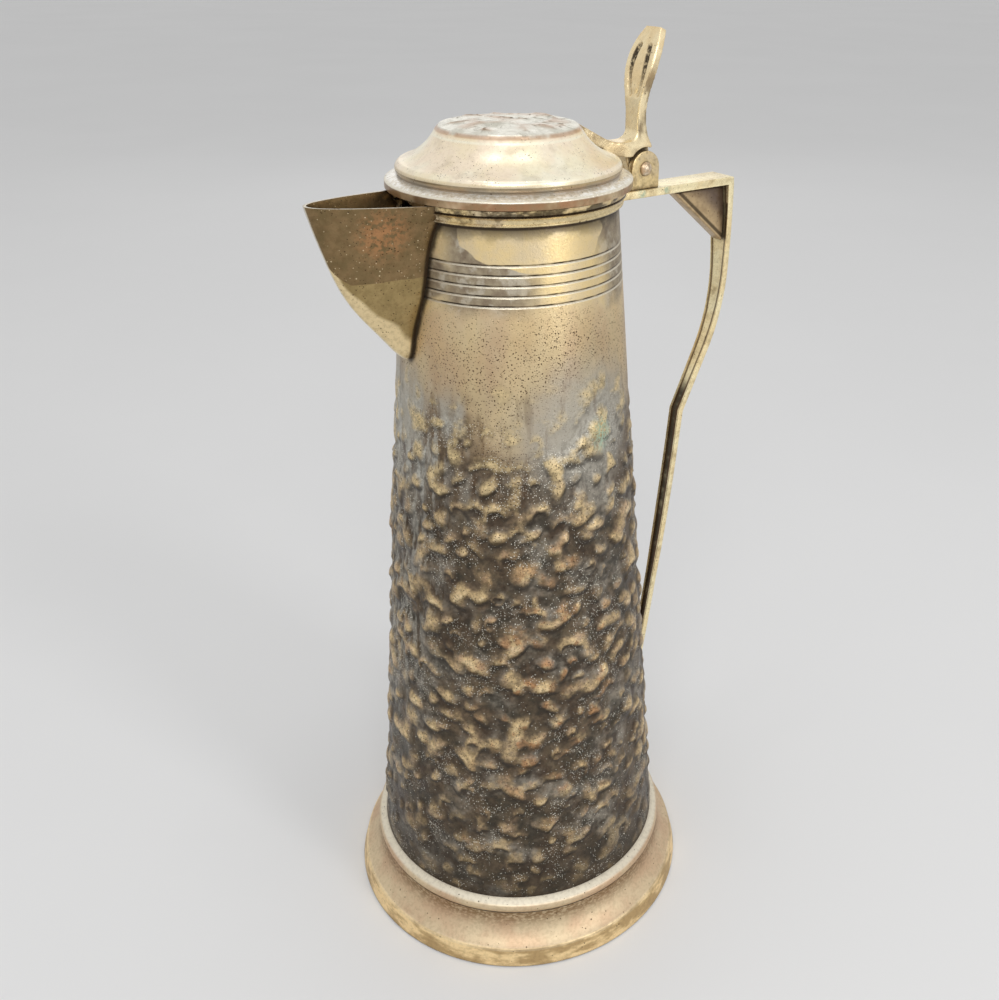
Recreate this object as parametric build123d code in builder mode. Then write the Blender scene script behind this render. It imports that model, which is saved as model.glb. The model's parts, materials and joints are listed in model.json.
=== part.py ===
"""A tapered brass jug with a hinged lid, a folded sheet spout and a strap handle.

Millimetres, +Z up. The origin is on the jug's axis, on the surface it stands on.
+X points to the handle and -X to the spout. Every piece that is spun, folded, cast
or riveted on its own is a solid of its own, and soldered pieces meet face to face.
"""
import os
from math import atan, cos, radians, sin, sqrt

from build123d import *

# Foot's largest radius, and how far the body and the foot's neck stand in from it
FOOT_RADIUS = 70.0
FOOT_BODY_INSET = 9.83
FOOT_NECK_INSET = 8.9

# Body: a straight cone of sheet
BODY_FOOT_RADIUS = FOOT_RADIUS - FOOT_BODY_INSET
BODY_MOUTH_RADIUS = 36.49
BODY_HEIGHT = 294.6
BODY_WALL = 1.0

# Hammered relief: low lumps that wind up the body, each a fixed turn and rise from the
# last, but for a small stray. None lies behind the strap where that runs close to the body.
LUMP_COUNT = 122
LUMP_LOW_Z = 37.0
LUMP_RISE = 1.36
LUMP_TURN = 137.508
LUMP_STRAY = 3.0
LUMP_PROUD = 1.1
LUMP_RADIUS = 7.9
LUMP_SKIN = 0.15
STRAP_CLOSE_Z = 75.0

# Engraved lines round the neck
LINE_COUNT = 5
LINE_TOP_DROP = 17.8
LINE_PITCH = 3.25
LINE_HALF_WIDTH = 0.45
LINE_DEPTH = 0.38

# Foot: a spun ring with a flat band and a hollow curve, closed below by a flat plate
FOOT_BAND_HEIGHT = 7.9
FOOT_BAND_LEAN = 1.9
FOOT_NECK_RADIUS = FOOT_RADIUS - FOOT_NECK_INSET
FOOT_HEIGHT = 20.6
FOOT_SHEET = 1.5
FOOT_EDGE = 0.6
PLATE_THICKNESS = 1.2

# Bead: a half-round moulding where the body meets the foot
BEAD_HEIGHT = 5.35
BEAD_PROUD = 0.6
BEAD_BULGE_HEIGHT = 1.8
BEAD_SHOULDER_HEIGHT = 3.7

# Collar: two bands round the mouth
COLLAR_UPPER_HEIGHT = 2.3
COLLAR_LOWER_HEIGHT = 3.4
COLLAR_UPPER_PROUD = 3.1
COLLAR_LOWER_PROUD = 2.7
COLLAR_FOOT_PROUD = 1.6
COLLAR_EDGE = 0.35

# Spout: one sheet folded so that every level section is a parabola.
# Each level gives how far it lies below the mouth, how far its keel stands off
# the body, and the parabola's half width squared over the distance from the keel.
SPOUT_SHEET = 1.0
SPOUT_LEVELS = [
    (53.6, 1.8, 0.12),
    (46.0, 9.7, 0.75),
    (36.0, 18.6, 1.72),
    (24.0, 26.6, 2.55),
    (12.0, 31.9, 3.25),
    (4.0, 35.0, 5.0),
    (0.0, 36.4, 6.1),
    (-8.0, 39.2, 7.2),
]
SPOUT_SEAT_DEPTH = 6.5
SPOUT_KEEL_EXTRA = 0.4
SPOUT_RIM_DROP = 0.25
SPOUT_RIM_RISE = 0.046

# Gate: the opening through the wall behind the spout
GATE_HALF_WIDTH = 10.5
GATE_DEPTH = 43.6
GATE_ROUND = 1.0

# Handle: a flat arm, a corner, a grip and a strap that comes in to the foot
STRAP_THICKNESS = 2.8
ARM_DROP = 7.4
ARM_HALF_WIDTH = 6.1
ARM_REACH = 96.2
GRIP_BOW = 2.1
GRIP_DROP = 34.4
GRIP_BEND_RADIUS = 78.0
GRIP_BEND_ANGLE = 25.0
GRIP_STRAIGHT = 26.7
STRAP_BOW = 1.95
STRAP_PAD_LENGTH = 10.0
STRAP_PAD_GAP = 2.0
STRAP_PAD_SINK = 0.2
GRIP_HALF_WIDTH = 4.0
KINK_HALF_WIDTH = 3.0
STRAP_HALF_WIDTH = 2.4

# Corner web under the arm
WEB_THICKNESS = 5.7
WEB_REACH = 25.7
WEB_DROP = 21.5
WEB_BEVEL = 1.4

# Hinge: a fork on the arm, a riveted pin and a knuckle on the lid's lever
PIN_SETBACK = 13.9
PIN_RISE = 7.2
PIN_RADIUS = 1.6
PIN_HEAD_RADIUS = 2.7
PIN_HEAD_HEIGHT = 1.6
FORK_HALF_WIDTH = 4.8
FORK_CHEEK = 2.4
FORK_RADIUS = 6.3
FORK_BASE = 1.7
KNUCKLE_RADIUS = 4.9
KNUCKLE_NECK_ANGLE = 25.0
PIN_CLEARANCE = 0.05
KNUCKLE_CLEARANCE = 0.3
ARCH_CLEARANCE = 1.2

# Lid: a spun dome on a rim ring, with a skirt that drops into the mouth
LID_GAP = 0.3
LID_OVERHANG = 1.91
RIM_HEIGHT = 3.8
RIM_FALL = 1.3
RIM_EDGE_LOW = 0.6
RIM_EDGE_HIGH = 1.2
RIM_LAND = 3.8
SKIRT_SHEET = 1.0
SKIRT_DEPTH = 4.0
SKIRT_CLEARANCE = 0.4
DOME_SHEET = 1.0
DOME_FOOT_HEIGHT = 0.4
DOME_LEDGE_HEIGHT = 4.5
DOME_LEDGE_DRAW = 1.9
DOME_LEDGE_SWELL = 0.75
DOME_BELLY_HEIGHT = 1.5
LEDGE_TOP_NORMAL = 60.0
DOME_EDGE_NORMAL = 30.0
CROWN_EDGE_NORMAL = 70.0
DOME_HOLLOW = 1.43
DOME_TOP_RADIUS = 24.1
DOME_HEIGHT = 14.2
DOME_EDGE = 1.2
DOME_CROWN = 2.3

# Lever and thumbpiece: one casting, given by its side, front and plan outlines.
# Setbacks and heights are from the pin's axis, towards the spout and upwards.
LEVER_TIP_SETBACK = 1.9
LEVER_TIP_HALF_WIDTH = 1.3
LEVER_BEND = (18.4, 12.4)
LEVER_SADDLE = (9.3, 10.0)
LEVER_ROOT = (7.3, 10.0)
LEVER_UNDER = (5.5, 4.6)
LEVER_ROOT_HALF_WIDTH = 4.7
HEEL = (-2.8, 7.8)
HEEL_NARROW_HEIGHT = 12.1
WAIST_FRONT = (3.5, 14.1)
WAIST_HEIGHT = 21.6
WAIST_THICKNESS = 3.7
WAIST_HALF_WIDTH = 3.7
WAIST_SPREAD = 0.4
NAPE_HEIGHT = 19.5
HEAD_TOP = (-5.0, 47.2)
HEAD_THICKNESS = 2.4
HEAD_TILT = 25.0
HEAD_HALF_WIDTH = 7.1
HEAD_WIDEST_HEIGHT = 36.5
HEAD_TOP_HALF_WIDTH = 3.2
HEAD_ROUND = 1.2

# Two curved recesses in the front of the thumbpiece: side and height
RECESS_WIDTH = 2.1
RECESS_DEPTH = 0.8
RECESS_LOW = (2.0, 25.5)
RECESS_MIDDLE = (3.6, 34.5)
RECESS_HIGH = (2.6, 41.2)

CUT = 1.0
BIG = 200.0

BODY_SLOPE = (BODY_FOOT_RADIUS - BODY_MOUTH_RADIUS) / BODY_HEIGHT


def body_radius(z):
    """Outer radius of the body's cone at a height."""
    return BODY_FOOT_RADIUS - BODY_SLOPE * z


def body_bore(z):
    """Inner radius of the body's cone at a height."""
    return body_radius(z) - BODY_WALL


def finish(piece, name):
    """Name a finished piece, write its STEP file and print its volume."""
    piece.part.label = name
    export_step(piece.part, f"parts/{name}.step")
    print(f"{name}: {piece.part.volume:.0f} cubic mm in {len(piece.part.solids())} solid")


os.makedirs("parts", exist_ok=True)

# The cone filled up, for trimming what is soldered on it
with BuildPart() as body_core:
    with BuildSketch(Plane.XZ):
        Polygon(
            (0, -CUT),
            (body_radius(-CUT), -CUT),
            (body_radius(BODY_HEIGHT + CUT), BODY_HEIGHT + CUT),
            (0, BODY_HEIGHT + CUT),
            align=None,
        )
    revolve(axis=Axis.Z)

# The gate filled up, from the axis outwards and open at the mouth
with BuildPart() as gate:
    with BuildSketch(Plane.YZ):
        Polygon(
            (0, BODY_HEIGHT - GATE_DEPTH),
            (GATE_HALF_WIDTH, BODY_HEIGHT),
            (GATE_HALF_WIDTH, BODY_HEIGHT + CUT),
            (-GATE_HALF_WIDTH, BODY_HEIGHT + CUT),
            (-GATE_HALF_WIDTH, BODY_HEIGHT),
            align=None,
        )
        fillet(vertices().sort_by(Axis.Z)[0], GATE_ROUND)
    extrude(amount=-BODY_FOOT_RADIUS)


# Base plate, let into the foot flush with its edge
PLATE_RADIUS = FOOT_RADIUS - FOOT_SHEET - FOOT_EDGE / 2
with BuildPart() as base_plate:
    with BuildSketch():
        Circle(PLATE_RADIUS)
    extrude(amount=PLATE_THICKNESS)
finish(base_plate, "base_plate")


# One lump of the relief: a lens that rises from inside the sheet, along its own axis
lump_seat = BODY_WALL - LUMP_SKIN
with BuildPart() as lump:
    with BuildSketch(Plane.XZ):
        with BuildLine():
            Polyline((0, LUMP_PROUD), (0, -lump_seat), (LUMP_RADIUS, -lump_seat))
            Bezier((0, LUMP_PROUD), (LUMP_RADIUS / 2, LUMP_PROUD), (LUMP_RADIUS, -lump_seat))
        make_face()
    revolve(axis=Axis.Z)

lump_tilt = atan(BODY_SLOPE)
lump_places = []
for number in range(LUMP_COUNT):
    around = radians(LUMP_TURN * number)
    lump_z = LUMP_LOW_Z + LUMP_RISE * number + LUMP_STRAY * sin(number**2)
    lump_x = body_radius(lump_z) * cos(around)
    lump_y = body_radius(lump_z) * sin(around)
    beside_strap = lump_x < 0 or abs(lump_y) > LUMP_RADIUS + STRAP_HALF_WIDTH
    if beside_strap or lump_z > STRAP_CLOSE_Z:
        outward = (cos(around) * cos(lump_tilt), sin(around) * cos(lump_tilt), sin(lump_tilt))
        sideways = (-sin(around), cos(around), 0)
        lump_places.append(Plane((lump_x, lump_y, lump_z), sideways, outward).location)

# Body shell, standing on the plate, with its relief, its engraved lines and the gate
with BuildPart() as body_shell:
    with BuildSketch(Plane.XZ):
        Polygon(
            (body_bore(PLATE_THICKNESS), PLATE_THICKNESS),
            (body_radius(PLATE_THICKNESS), PLATE_THICKNESS),
            (body_radius(BODY_HEIGHT), BODY_HEIGHT),
            (body_bore(BODY_HEIGHT), BODY_HEIGHT),
            align=None,
        )
        for row in range(LINE_COUNT):
            line_z = BODY_HEIGHT - LINE_TOP_DROP - row * LINE_PITCH
            line_radius = body_radius(line_z)
            Polygon(
                (line_radius - LINE_DEPTH, line_z),
                (line_radius + LINE_DEPTH, line_z + 2 * LINE_HALF_WIDTH),
                (line_radius + LINE_DEPTH, line_z - 2 * LINE_HALF_WIDTH),
                align=None,
                mode=Mode.SUBTRACT,
            )
    revolve(axis=Axis.Z)
    add(gate.part, mode=Mode.SUBTRACT)
    with Locations(lump_places):
        add(lump.part)
finish(body_shell, "body_shell")


# Foot ring: a leaning band, a hollow curve above it and a flange on the body
BAND_TOP = (FOOT_RADIUS - FOOT_BAND_LEAN, FOOT_BAND_HEIGHT)
CURVE_FOOT = (BAND_TOP[0] - FOOT_EDGE, BAND_TOP[1] + FOOT_EDGE / 2)
curve_rise = FOOT_HEIGHT - CURVE_FOOT[1]
curve_run = CURVE_FOOT[0] - FOOT_NECK_RADIUS
curve_radius = (curve_run**2 + curve_rise**2) / (2 * curve_run)
inner_share = 1 + FOOT_SHEET / curve_radius
CURVE_CENTRE_X = FOOT_NECK_RADIUS + curve_radius
CURVE_FOOT_IN = (
    CURVE_CENTRE_X + (CURVE_FOOT[0] - CURVE_CENTRE_X) * inner_share,
    FOOT_HEIGHT + (CURVE_FOOT[1] - FOOT_HEIGHT) * inner_share,
)
NECK_IN = (
    CURVE_CENTRE_X - sqrt((curve_radius * inner_share) ** 2 - FOOT_SHEET**2),
    FOOT_HEIGHT - FOOT_SHEET,
)
with BuildPart() as foot_ring:
    with BuildSketch(Plane.XZ):
        with BuildLine():
            Polyline(
                (PLATE_RADIUS, 0),
                (FOOT_RADIUS - FOOT_EDGE, 0),
                (FOOT_RADIUS, FOOT_EDGE),
                BAND_TOP,
                CURVE_FOOT,
            )
            TangentArc((FOOT_NECK_RADIUS, FOOT_HEIGHT), CURVE_FOOT, tangent=(0, -1))
            Polyline(
                (FOOT_NECK_RADIUS, FOOT_HEIGHT),
                (body_radius(FOOT_HEIGHT), FOOT_HEIGHT),
                (body_radius(NECK_IN[1]), NECK_IN[1]),
                NECK_IN,
            )
            RadiusArc(NECK_IN, CURVE_FOOT_IN, -curve_radius * inner_share)
            Polyline(CURVE_FOOT_IN, (PLATE_RADIUS, PLATE_THICKNESS), (PLATE_RADIUS, 0))
        make_face()
    revolve(axis=Axis.Z)
finish(foot_ring, "foot_ring")


# Foot bead: a half-round moulding between the foot and the body
BEAD_TOP_Z = FOOT_HEIGHT + BEAD_HEIGHT
with BuildPart() as foot_bead:
    with BuildSketch(Plane.XZ):
        with BuildLine():
            bead_low = (FOOT_NECK_RADIUS + BEAD_PROUD / 2, FOOT_HEIGHT + BEAD_PROUD)
            bead_bulge = (FOOT_NECK_RADIUS + BEAD_PROUD, FOOT_HEIGHT + BEAD_BULGE_HEIGHT)
            bead_high = (FOOT_NECK_RADIUS, FOOT_HEIGHT + BEAD_SHOULDER_HEIGHT)
            Polyline(
                bead_high,
                (body_radius(BEAD_TOP_Z), BEAD_TOP_Z),
                (body_radius(FOOT_HEIGHT), FOOT_HEIGHT),
                (FOOT_NECK_RADIUS, FOOT_HEIGHT),
                bead_low,
            )
            ThreePointArc(bead_low, bead_bulge, bead_high)
        make_face()
    revolve(axis=Axis.Z)
finish(foot_bead, "foot_bead")


# Collar bands: whole rings first, which also trim the spout, then open at the gate
COLLAR_SPLIT_Z = BODY_HEIGHT - COLLAR_UPPER_HEIGHT
COLLAR_LOW_Z = COLLAR_SPLIT_Z - COLLAR_LOWER_HEIGHT
COLLAR_RADIUS = BODY_MOUTH_RADIUS + COLLAR_UPPER_PROUD
split_radius = body_radius(COLLAR_SPLIT_Z)
with BuildPart() as lower_band:
    with BuildSketch(Plane.XZ):
        lip = body_radius(COLLAR_LOW_Z) + COLLAR_FOOT_PROUD
        flare = split_radius + COLLAR_LOWER_PROUD
        with BuildLine():
            Polyline(
                (flare - COLLAR_EDGE, COLLAR_SPLIT_Z),
                (split_radius, COLLAR_SPLIT_Z),
                (body_radius(COLLAR_LOW_Z), COLLAR_LOW_Z),
                (lip - COLLAR_EDGE, COLLAR_LOW_Z),
                (lip, COLLAR_LOW_Z + COLLAR_EDGE),
                (lip, COLLAR_LOW_Z + 2 * COLLAR_EDGE),
                (lip - COLLAR_EDGE, COLLAR_LOW_Z + 3 * COLLAR_EDGE),
            )
            TangentArc(
                (lip - COLLAR_EDGE, COLLAR_LOW_Z + 3 * COLLAR_EDGE),
                (flare, COLLAR_SPLIT_Z - COLLAR_EDGE),
                tangent=(0, 1),
            )
            Line((flare, COLLAR_SPLIT_Z - COLLAR_EDGE), (flare - COLLAR_EDGE, COLLAR_SPLIT_Z))
        make_face()
    revolve(axis=Axis.Z)

with BuildPart() as upper_band:
    with BuildSketch(Plane.XZ):
        Polygon(
            (BODY_MOUTH_RADIUS, BODY_HEIGHT),
            (split_radius, COLLAR_SPLIT_Z),
            (COLLAR_RADIUS - 2 * COLLAR_EDGE, COLLAR_SPLIT_Z),
            (COLLAR_RADIUS - COLLAR_EDGE, COLLAR_SPLIT_Z + COLLAR_EDGE),
            (COLLAR_RADIUS, BODY_HEIGHT - COLLAR_EDGE),
            (COLLAR_RADIUS - COLLAR_EDGE, BODY_HEIGHT),
            align=None,
        )
    revolve(axis=Axis.Z)

with BuildPart() as collar_lower:
    add(lower_band.part)
    add(gate.part, mode=Mode.SUBTRACT)
finish(collar_lower, "collar_lower")

with BuildPart() as collar_upper:
    add(upper_band.part)
    add(gate.part, mode=Mode.SUBTRACT)
finish(collar_upper, "collar_upper")


# Spout: an outer and an inner form, both lofted through parabolas
SPOUT_SEAT_X = -(BODY_MOUTH_RADIUS - SPOUT_SEAT_DEPTH)


def parabola(z, keel_x, half_width):
    """Draw a level parabola with its nose at keel_x, closed by a line inside the body."""
    with BuildSketch(Plane.XY.offset(z)) as section:
        with BuildLine():
            Bezier(
                (SPOUT_SEAT_X, half_width),
                (2 * keel_x - SPOUT_SEAT_X, 0),
                (SPOUT_SEAT_X, -half_width),
            )
            Line((SPOUT_SEAT_X, -half_width), (SPOUT_SEAT_X, half_width))
        make_face()
    return section.sketch


# The keel slants most at its lowest level, so the sheet is thicker there on the level
outer_sections = []
inner_sections = []
lowest_drop = SPOUT_LEVELS[0][0]
for drop, stand_off, fullness in SPOUT_LEVELS:
    level_z = BODY_HEIGHT - drop
    keel_x = -body_radius(level_z) - stand_off
    half_width = sqrt(fullness * (SPOUT_SEAT_X - keel_x))
    keel_sheet = SPOUT_SHEET * (1 + SPOUT_KEEL_EXTRA * max(drop, 0) / lowest_drop)
    outer_sections.append(parabola(level_z, keel_x, half_width))
    if drop < lowest_drop:
        inner_sections.append(parabola(level_z, keel_x + keel_sheet, half_width - SPOUT_SHEET))

with BuildPart() as spout_outer:
    loft(outer_sections)

with BuildPart() as spout_inner:
    loft(inner_sections)

with BuildPart() as above_rim:
    with BuildSketch(Plane.XZ):
        rim_z = BODY_HEIGHT - SPOUT_RIM_DROP
        Polygon(
            (0, rim_z - SPOUT_RIM_RISE * BODY_MOUTH_RADIUS),
            (-BIG, rim_z + SPOUT_RIM_RISE * (BIG - BODY_MOUTH_RADIUS)),
            (-BIG, rim_z + BIG),
            (0, rim_z + BIG),
            align=None,
        )
    extrude(amount=BIG, both=True)

with BuildPart() as spout:
    add(spout_outer.part)
    add(spout_inner.part, mode=Mode.SUBTRACT)
    add(above_rim.part, mode=Mode.SUBTRACT)
    add(body_core.part, mode=Mode.SUBTRACT)
    add(lower_band.part, mode=Mode.SUBTRACT)
    add(upper_band.part, mode=Mode.SUBTRACT)
finish(spout, "spout")


# Handle: the inner face's line, thickened outwards, then cut to its outline from behind
ARM_TOP_Z = BODY_HEIGHT - ARM_DROP
ARM_UNDER_Z = ARM_TOP_Z - STRAP_THICKNESS
CORNER = (ARM_REACH, ARM_UNDER_Z)
GRIP = (ARM_REACH + GRIP_BOW, ARM_UNDER_Z - GRIP_DROP)
lean = radians(GRIP_BEND_ANGLE)
BEND_END = (
    GRIP[0] - GRIP_BEND_RADIUS * (1 - cos(lean)),
    GRIP[1] - GRIP_BEND_RADIUS * sin(lean),
)
KINK = (BEND_END[0] - GRIP_STRAIGHT * sin(lean), BEND_END[1] - GRIP_STRAIGHT * cos(lean))
PAD_LOW_Z = BEAD_TOP_Z + STRAP_PAD_GAP
PAD_LOW = (body_radius(PAD_LOW_Z) - STRAP_PAD_SINK, PAD_LOW_Z)
PAD_HIGH_Z = PAD_LOW_Z + STRAP_PAD_LENGTH
PAD_HIGH = (body_radius(PAD_HIGH_Z) - STRAP_PAD_SINK, PAD_HIGH_Z)

with BuildPart() as handle_strap:
    with BuildSketch(Plane.XZ):
        with BuildLine():
            Line((0, ARM_UNDER_Z), CORNER)
            TangentArc(GRIP, CORNER, tangent=(0, 1))
            RadiusArc(GRIP, BEND_END, GRIP_BEND_RADIUS)
            Line(BEND_END, KINK)
            SagittaArc(KINK, PAD_HIGH, STRAP_BOW)
            Line(PAD_HIGH, PAD_LOW)
            offset(amount=STRAP_THICKNESS, side=Side.LEFT, kind=Kind.INTERSECTION)
        make_face()
    extrude(amount=ARM_HALF_WIDTH, both=True)
    with BuildSketch(Plane.YZ):
        with BuildLine():
            Polyline(
                (0, ARM_TOP_Z + CUT),
                (ARM_HALF_WIDTH, ARM_TOP_Z + CUT),
                (ARM_HALF_WIDTH, ARM_UNDER_Z),
            )
            Spline(
                (ARM_HALF_WIDTH, ARM_UNDER_Z),
                (GRIP_HALF_WIDTH, GRIP[1]),
                (KINK_HALF_WIDTH, KINK[1]),
                (STRAP_HALF_WIDTH, (KINK[1] + PAD_HIGH_Z) / 2),
            )
            Polyline(
                (STRAP_HALF_WIDTH, (KINK[1] + PAD_HIGH_Z) / 2),
                (STRAP_HALF_WIDTH, 0),
                (0, 0),
                (0, ARM_TOP_Z + CUT),
            )
        make_face()
        mirror(about=Plane.YZ)
    extrude(amount=BIG, mode=Mode.INTERSECT)
    add(body_core.part, mode=Mode.SUBTRACT)
finish(handle_strap, "handle_strap")


# Corner web: a triangle that seats under the arm and against the grip
with BuildPart() as handle_gusset:
    into_strap = STRAP_THICKNESS / 2
    web_slope = WEB_DROP / WEB_REACH
    with BuildSketch(Plane.XZ):
        Polygon(
            (CORNER[0] - WEB_REACH, ARM_UNDER_Z),
            (CORNER[0] + into_strap, ARM_UNDER_Z),
            (CORNER[0] + into_strap, ARM_UNDER_Z - web_slope * (WEB_REACH + into_strap)),
            align=None,
        )
    extrude(amount=WEB_THICKNESS / 2, both=True)
    add(handle_strap.part, mode=Mode.SUBTRACT)
    chamfer(edges().filter_by(Axis.X), WEB_BEVEL)
finish(handle_gusset, "handle_gusset")


# Hinge fork: a base on the arm and two cheeks round the pin
PIN_X = COLLAR_RADIUS + LID_OVERHANG + PIN_SETBACK
PIN_Z = ARM_TOP_Z + PIN_RISE
PIN_AXIS = Axis((PIN_X, 0, PIN_Z), (0, 1, 0))
slot_half = FORK_HALF_WIDTH - FORK_CHEEK
with BuildPart() as hinge_fork:
    with BuildSketch(Plane.XZ):
        with Locations((PIN_X, PIN_Z)):
            Circle(FORK_RADIUS)
        with Locations((PIN_X, (PIN_Z + ARM_TOP_Z) / 2)):
            Rectangle(2 * FORK_RADIUS, PIN_RISE)
        with Locations((PIN_X, ARM_TOP_Z)):
            Rectangle(BIG, BIG, align=(Align.CENTER, Align.MAX), mode=Mode.SUBTRACT)
    extrude(amount=FORK_HALF_WIDTH, both=True)
    with BuildSketch(Plane.XY.offset(ARM_TOP_Z + FORK_BASE)):
        with Locations((PIN_X, 0)):
            Rectangle(2 * FORK_RADIUS + CUT, 2 * slot_half)
    extrude(amount=PIN_RISE + FORK_RADIUS, mode=Mode.SUBTRACT)
    with BuildSketch(Plane.XZ):
        with Locations((PIN_X, PIN_Z)):
            Circle(PIN_RADIUS)
    extrude(amount=FORK_HALF_WIDTH, both=True, mode=Mode.SUBTRACT)
finish(hinge_fork, "hinge_fork")


# Hinge pin: a shaft with a domed head riveted over each cheek
with BuildPart() as hinge_pin:
    with BuildSketch(Plane(origin=(PIN_X, 0, PIN_Z), x_dir=(0, 1, 0), z_dir=(1, 0, 0))):
        with BuildLine():
            head_top = FORK_HALF_WIDTH + PIN_HEAD_HEIGHT
            Polyline(
                (0, 0),
                (head_top, 0),
            )
            TangentArc((head_top, 0), (FORK_HALF_WIDTH, PIN_HEAD_RADIUS), tangent=(0, 1))
            Polyline(
                (FORK_HALF_WIDTH, PIN_HEAD_RADIUS),
                (FORK_HALF_WIDTH, PIN_RADIUS),
                (0, PIN_RADIUS),
                (0, 0),
            )
        make_face()
    revolve(axis=PIN_AXIS)
    mirror(about=Plane.XZ)
finish(hinge_pin, "hinge_pin")


# Lid rim: the ring that carries the dome and rests over the collar
RIM_LOW_Z = BODY_HEIGHT + LID_GAP
RIM_TOP_Z = RIM_LOW_Z + RIM_HEIGHT
RIM_RADIUS = COLLAR_RADIUS + LID_OVERHANG
SKIRT_RADIUS = body_bore(BODY_HEIGHT) - SKIRT_CLEARANCE
LEDGE_RADIUS = RIM_RADIUS - RIM_LAND
with BuildPart() as lid_rim:
    with BuildSketch(Plane.XZ):
        Polygon(
            (SKIRT_RADIUS, RIM_LOW_Z),
            (RIM_RADIUS, RIM_LOW_Z),
            (RIM_RADIUS, RIM_TOP_Z - RIM_FALL),
            (LEDGE_RADIUS, RIM_TOP_Z),
            (SKIRT_RADIUS, RIM_TOP_Z),
            align=None,
        )
        outer_corners = vertices().group_by(Axis.X)[-1].sort_by(Axis.Z)
        fillet(outer_corners[0], RIM_EDGE_LOW)
        fillet(outer_corners[1], RIM_EDGE_HIGH)
    revolve(axis=Axis.Z)
finish(lid_rim, "lid_rim")


# Lid flange: a plain tube inside the rim that drops into the mouth
with BuildPart() as lid_flange:
    with BuildSketch(Plane.XY.offset(RIM_LOW_Z - SKIRT_DEPTH)):
        Circle(SKIRT_RADIUS)
        Circle(SKIRT_RADIUS - SKIRT_SHEET, mode=Mode.SUBTRACT)
    extrude(amount=SKIRT_DEPTH + RIM_HEIGHT)
finish(lid_flange, "lid_flange")


# Lid dome: a swelling ledge, a hollow flank, a rounded edge and a flat crown
DOME_CREST_Z = RIM_TOP_Z + DOME_HEIGHT
DOME_TOP_Z = DOME_CREST_Z + DOME_CROWN
LEDGE_TOP = (LEDGE_RADIUS - DOME_LEDGE_DRAW, RIM_TOP_Z + DOME_LEDGE_HEIGHT)
DOME_EDGE_LOW = (DOME_TOP_RADIUS, DOME_CREST_Z)
DOME_EDGE_HIGH = (DOME_TOP_RADIUS - DOME_EDGE, DOME_CREST_Z + DOME_EDGE)


def inwards(point, distance, normal_angle):
    """Move an outline's point inwards, against its outward normal."""
    angle = radians(normal_angle)
    return (point[0] - distance * cos(angle), point[1] - distance * sin(angle))


def dome_form(inset):
    """Turn the dome's outline, drawn in by an inset, into a solid that stands on the rim."""
    ledge_foot = (LEDGE_RADIUS - DOME_LEDGE_SWELL - inset, RIM_TOP_Z + DOME_FOOT_HEIGHT)
    ledge_belly = (LEDGE_RADIUS - inset, RIM_TOP_Z + DOME_BELLY_HEIGHT)
    ledge_top = inwards(LEDGE_TOP, inset, LEDGE_TOP_NORMAL)
    edge_low = inwards(DOME_EDGE_LOW, inset, DOME_EDGE_NORMAL)
    edge_high = inwards(DOME_EDGE_HIGH, inset, CROWN_EDGE_NORMAL)
    crown = (0, DOME_TOP_Z - inset)
    with BuildPart() as form:
        with BuildSketch(Plane.XZ):
            with BuildLine():
                Line((ledge_foot[0], RIM_TOP_Z), ledge_foot)
                ThreePointArc(ledge_foot, ledge_belly, ledge_top)
                SagittaArc(ledge_top, edge_low, DOME_HOLLOW)
                Line(edge_low, edge_high)
                TangentArc(crown, edge_high, tangent=(1, 0))
                Polyline(crown, (0, RIM_TOP_Z), (ledge_foot[0], RIM_TOP_Z))
            make_face()
        revolve(axis=Axis.Z)
    return form.part


dome_core = dome_form(0)
with BuildPart() as lid_dome:
    add(dome_core)
    add(dome_form(DOME_SHEET), mode=Mode.SUBTRACT)
finish(lid_dome, "lid_dome")


# Thumb lever: an arm along the dome, a knuckle under it and a thumbpiece above
def from_pin(setback, height):
    """A point of the side outline, given from the pin's axis."""
    return (PIN_X - setback, PIN_Z + height)


LEVER_TIP = (DOME_TOP_RADIUS + LEVER_TIP_SETBACK, DOME_CREST_Z)
LEVER_SEAT = (LEDGE_TOP[0] - CUT, LEDGE_TOP[1])
head_back = inwards(HEAD_TOP, HEAD_THICKNESS, HEAD_TILT)
with BuildSketch(Plane.XZ) as lever_side:
    with BuildLine():
        Line(LEVER_TIP, from_pin(*LEVER_BEND))
        TangentArc(from_pin(*LEVER_SADDLE), from_pin(*LEVER_BEND), tangent=(-1, 0))
        Line(from_pin(*LEVER_SADDLE), from_pin(*LEVER_ROOT))
        TangentArc(from_pin(*LEVER_ROOT), from_pin(*WAIST_FRONT), tangent=(1, 0))
        Line(from_pin(*WAIST_FRONT), from_pin(WAIST_FRONT[0], WAIST_HEIGHT))
        TangentArc(from_pin(WAIST_FRONT[0], WAIST_HEIGHT), from_pin(*HEAD_TOP), tangent=(0, 1))
        Line(from_pin(*HEAD_TOP), from_pin(*head_back))
        nape = WAIST_FRONT[0] - WAIST_THICKNESS
        TangentArc(from_pin(nape, WAIST_HEIGHT), from_pin(*head_back), tangent=(0, 1))
        Line(from_pin(nape, WAIST_HEIGHT), from_pin(nape, NAPE_HEIGHT))
        TangentArc(from_pin(nape, NAPE_HEIGHT), from_pin(*HEEL), tangent=(0, -1))
        Line(from_pin(*HEEL), from_pin(0, 0))
        Line(from_pin(0, 0), from_pin(*LEVER_UNDER))
        TangentArc(from_pin(*LEVER_UNDER), LEVER_SEAT, tangent=(-1, 0))
        Polyline(LEVER_SEAT, (LEVER_TIP[0], LEVER_SEAT[1]), LEVER_TIP)
    make_face()

with BuildPart() as lever_block:
    extrude(lever_side.sketch, amount=HEAD_HALF_WIDTH + CUT, both=True)

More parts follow.
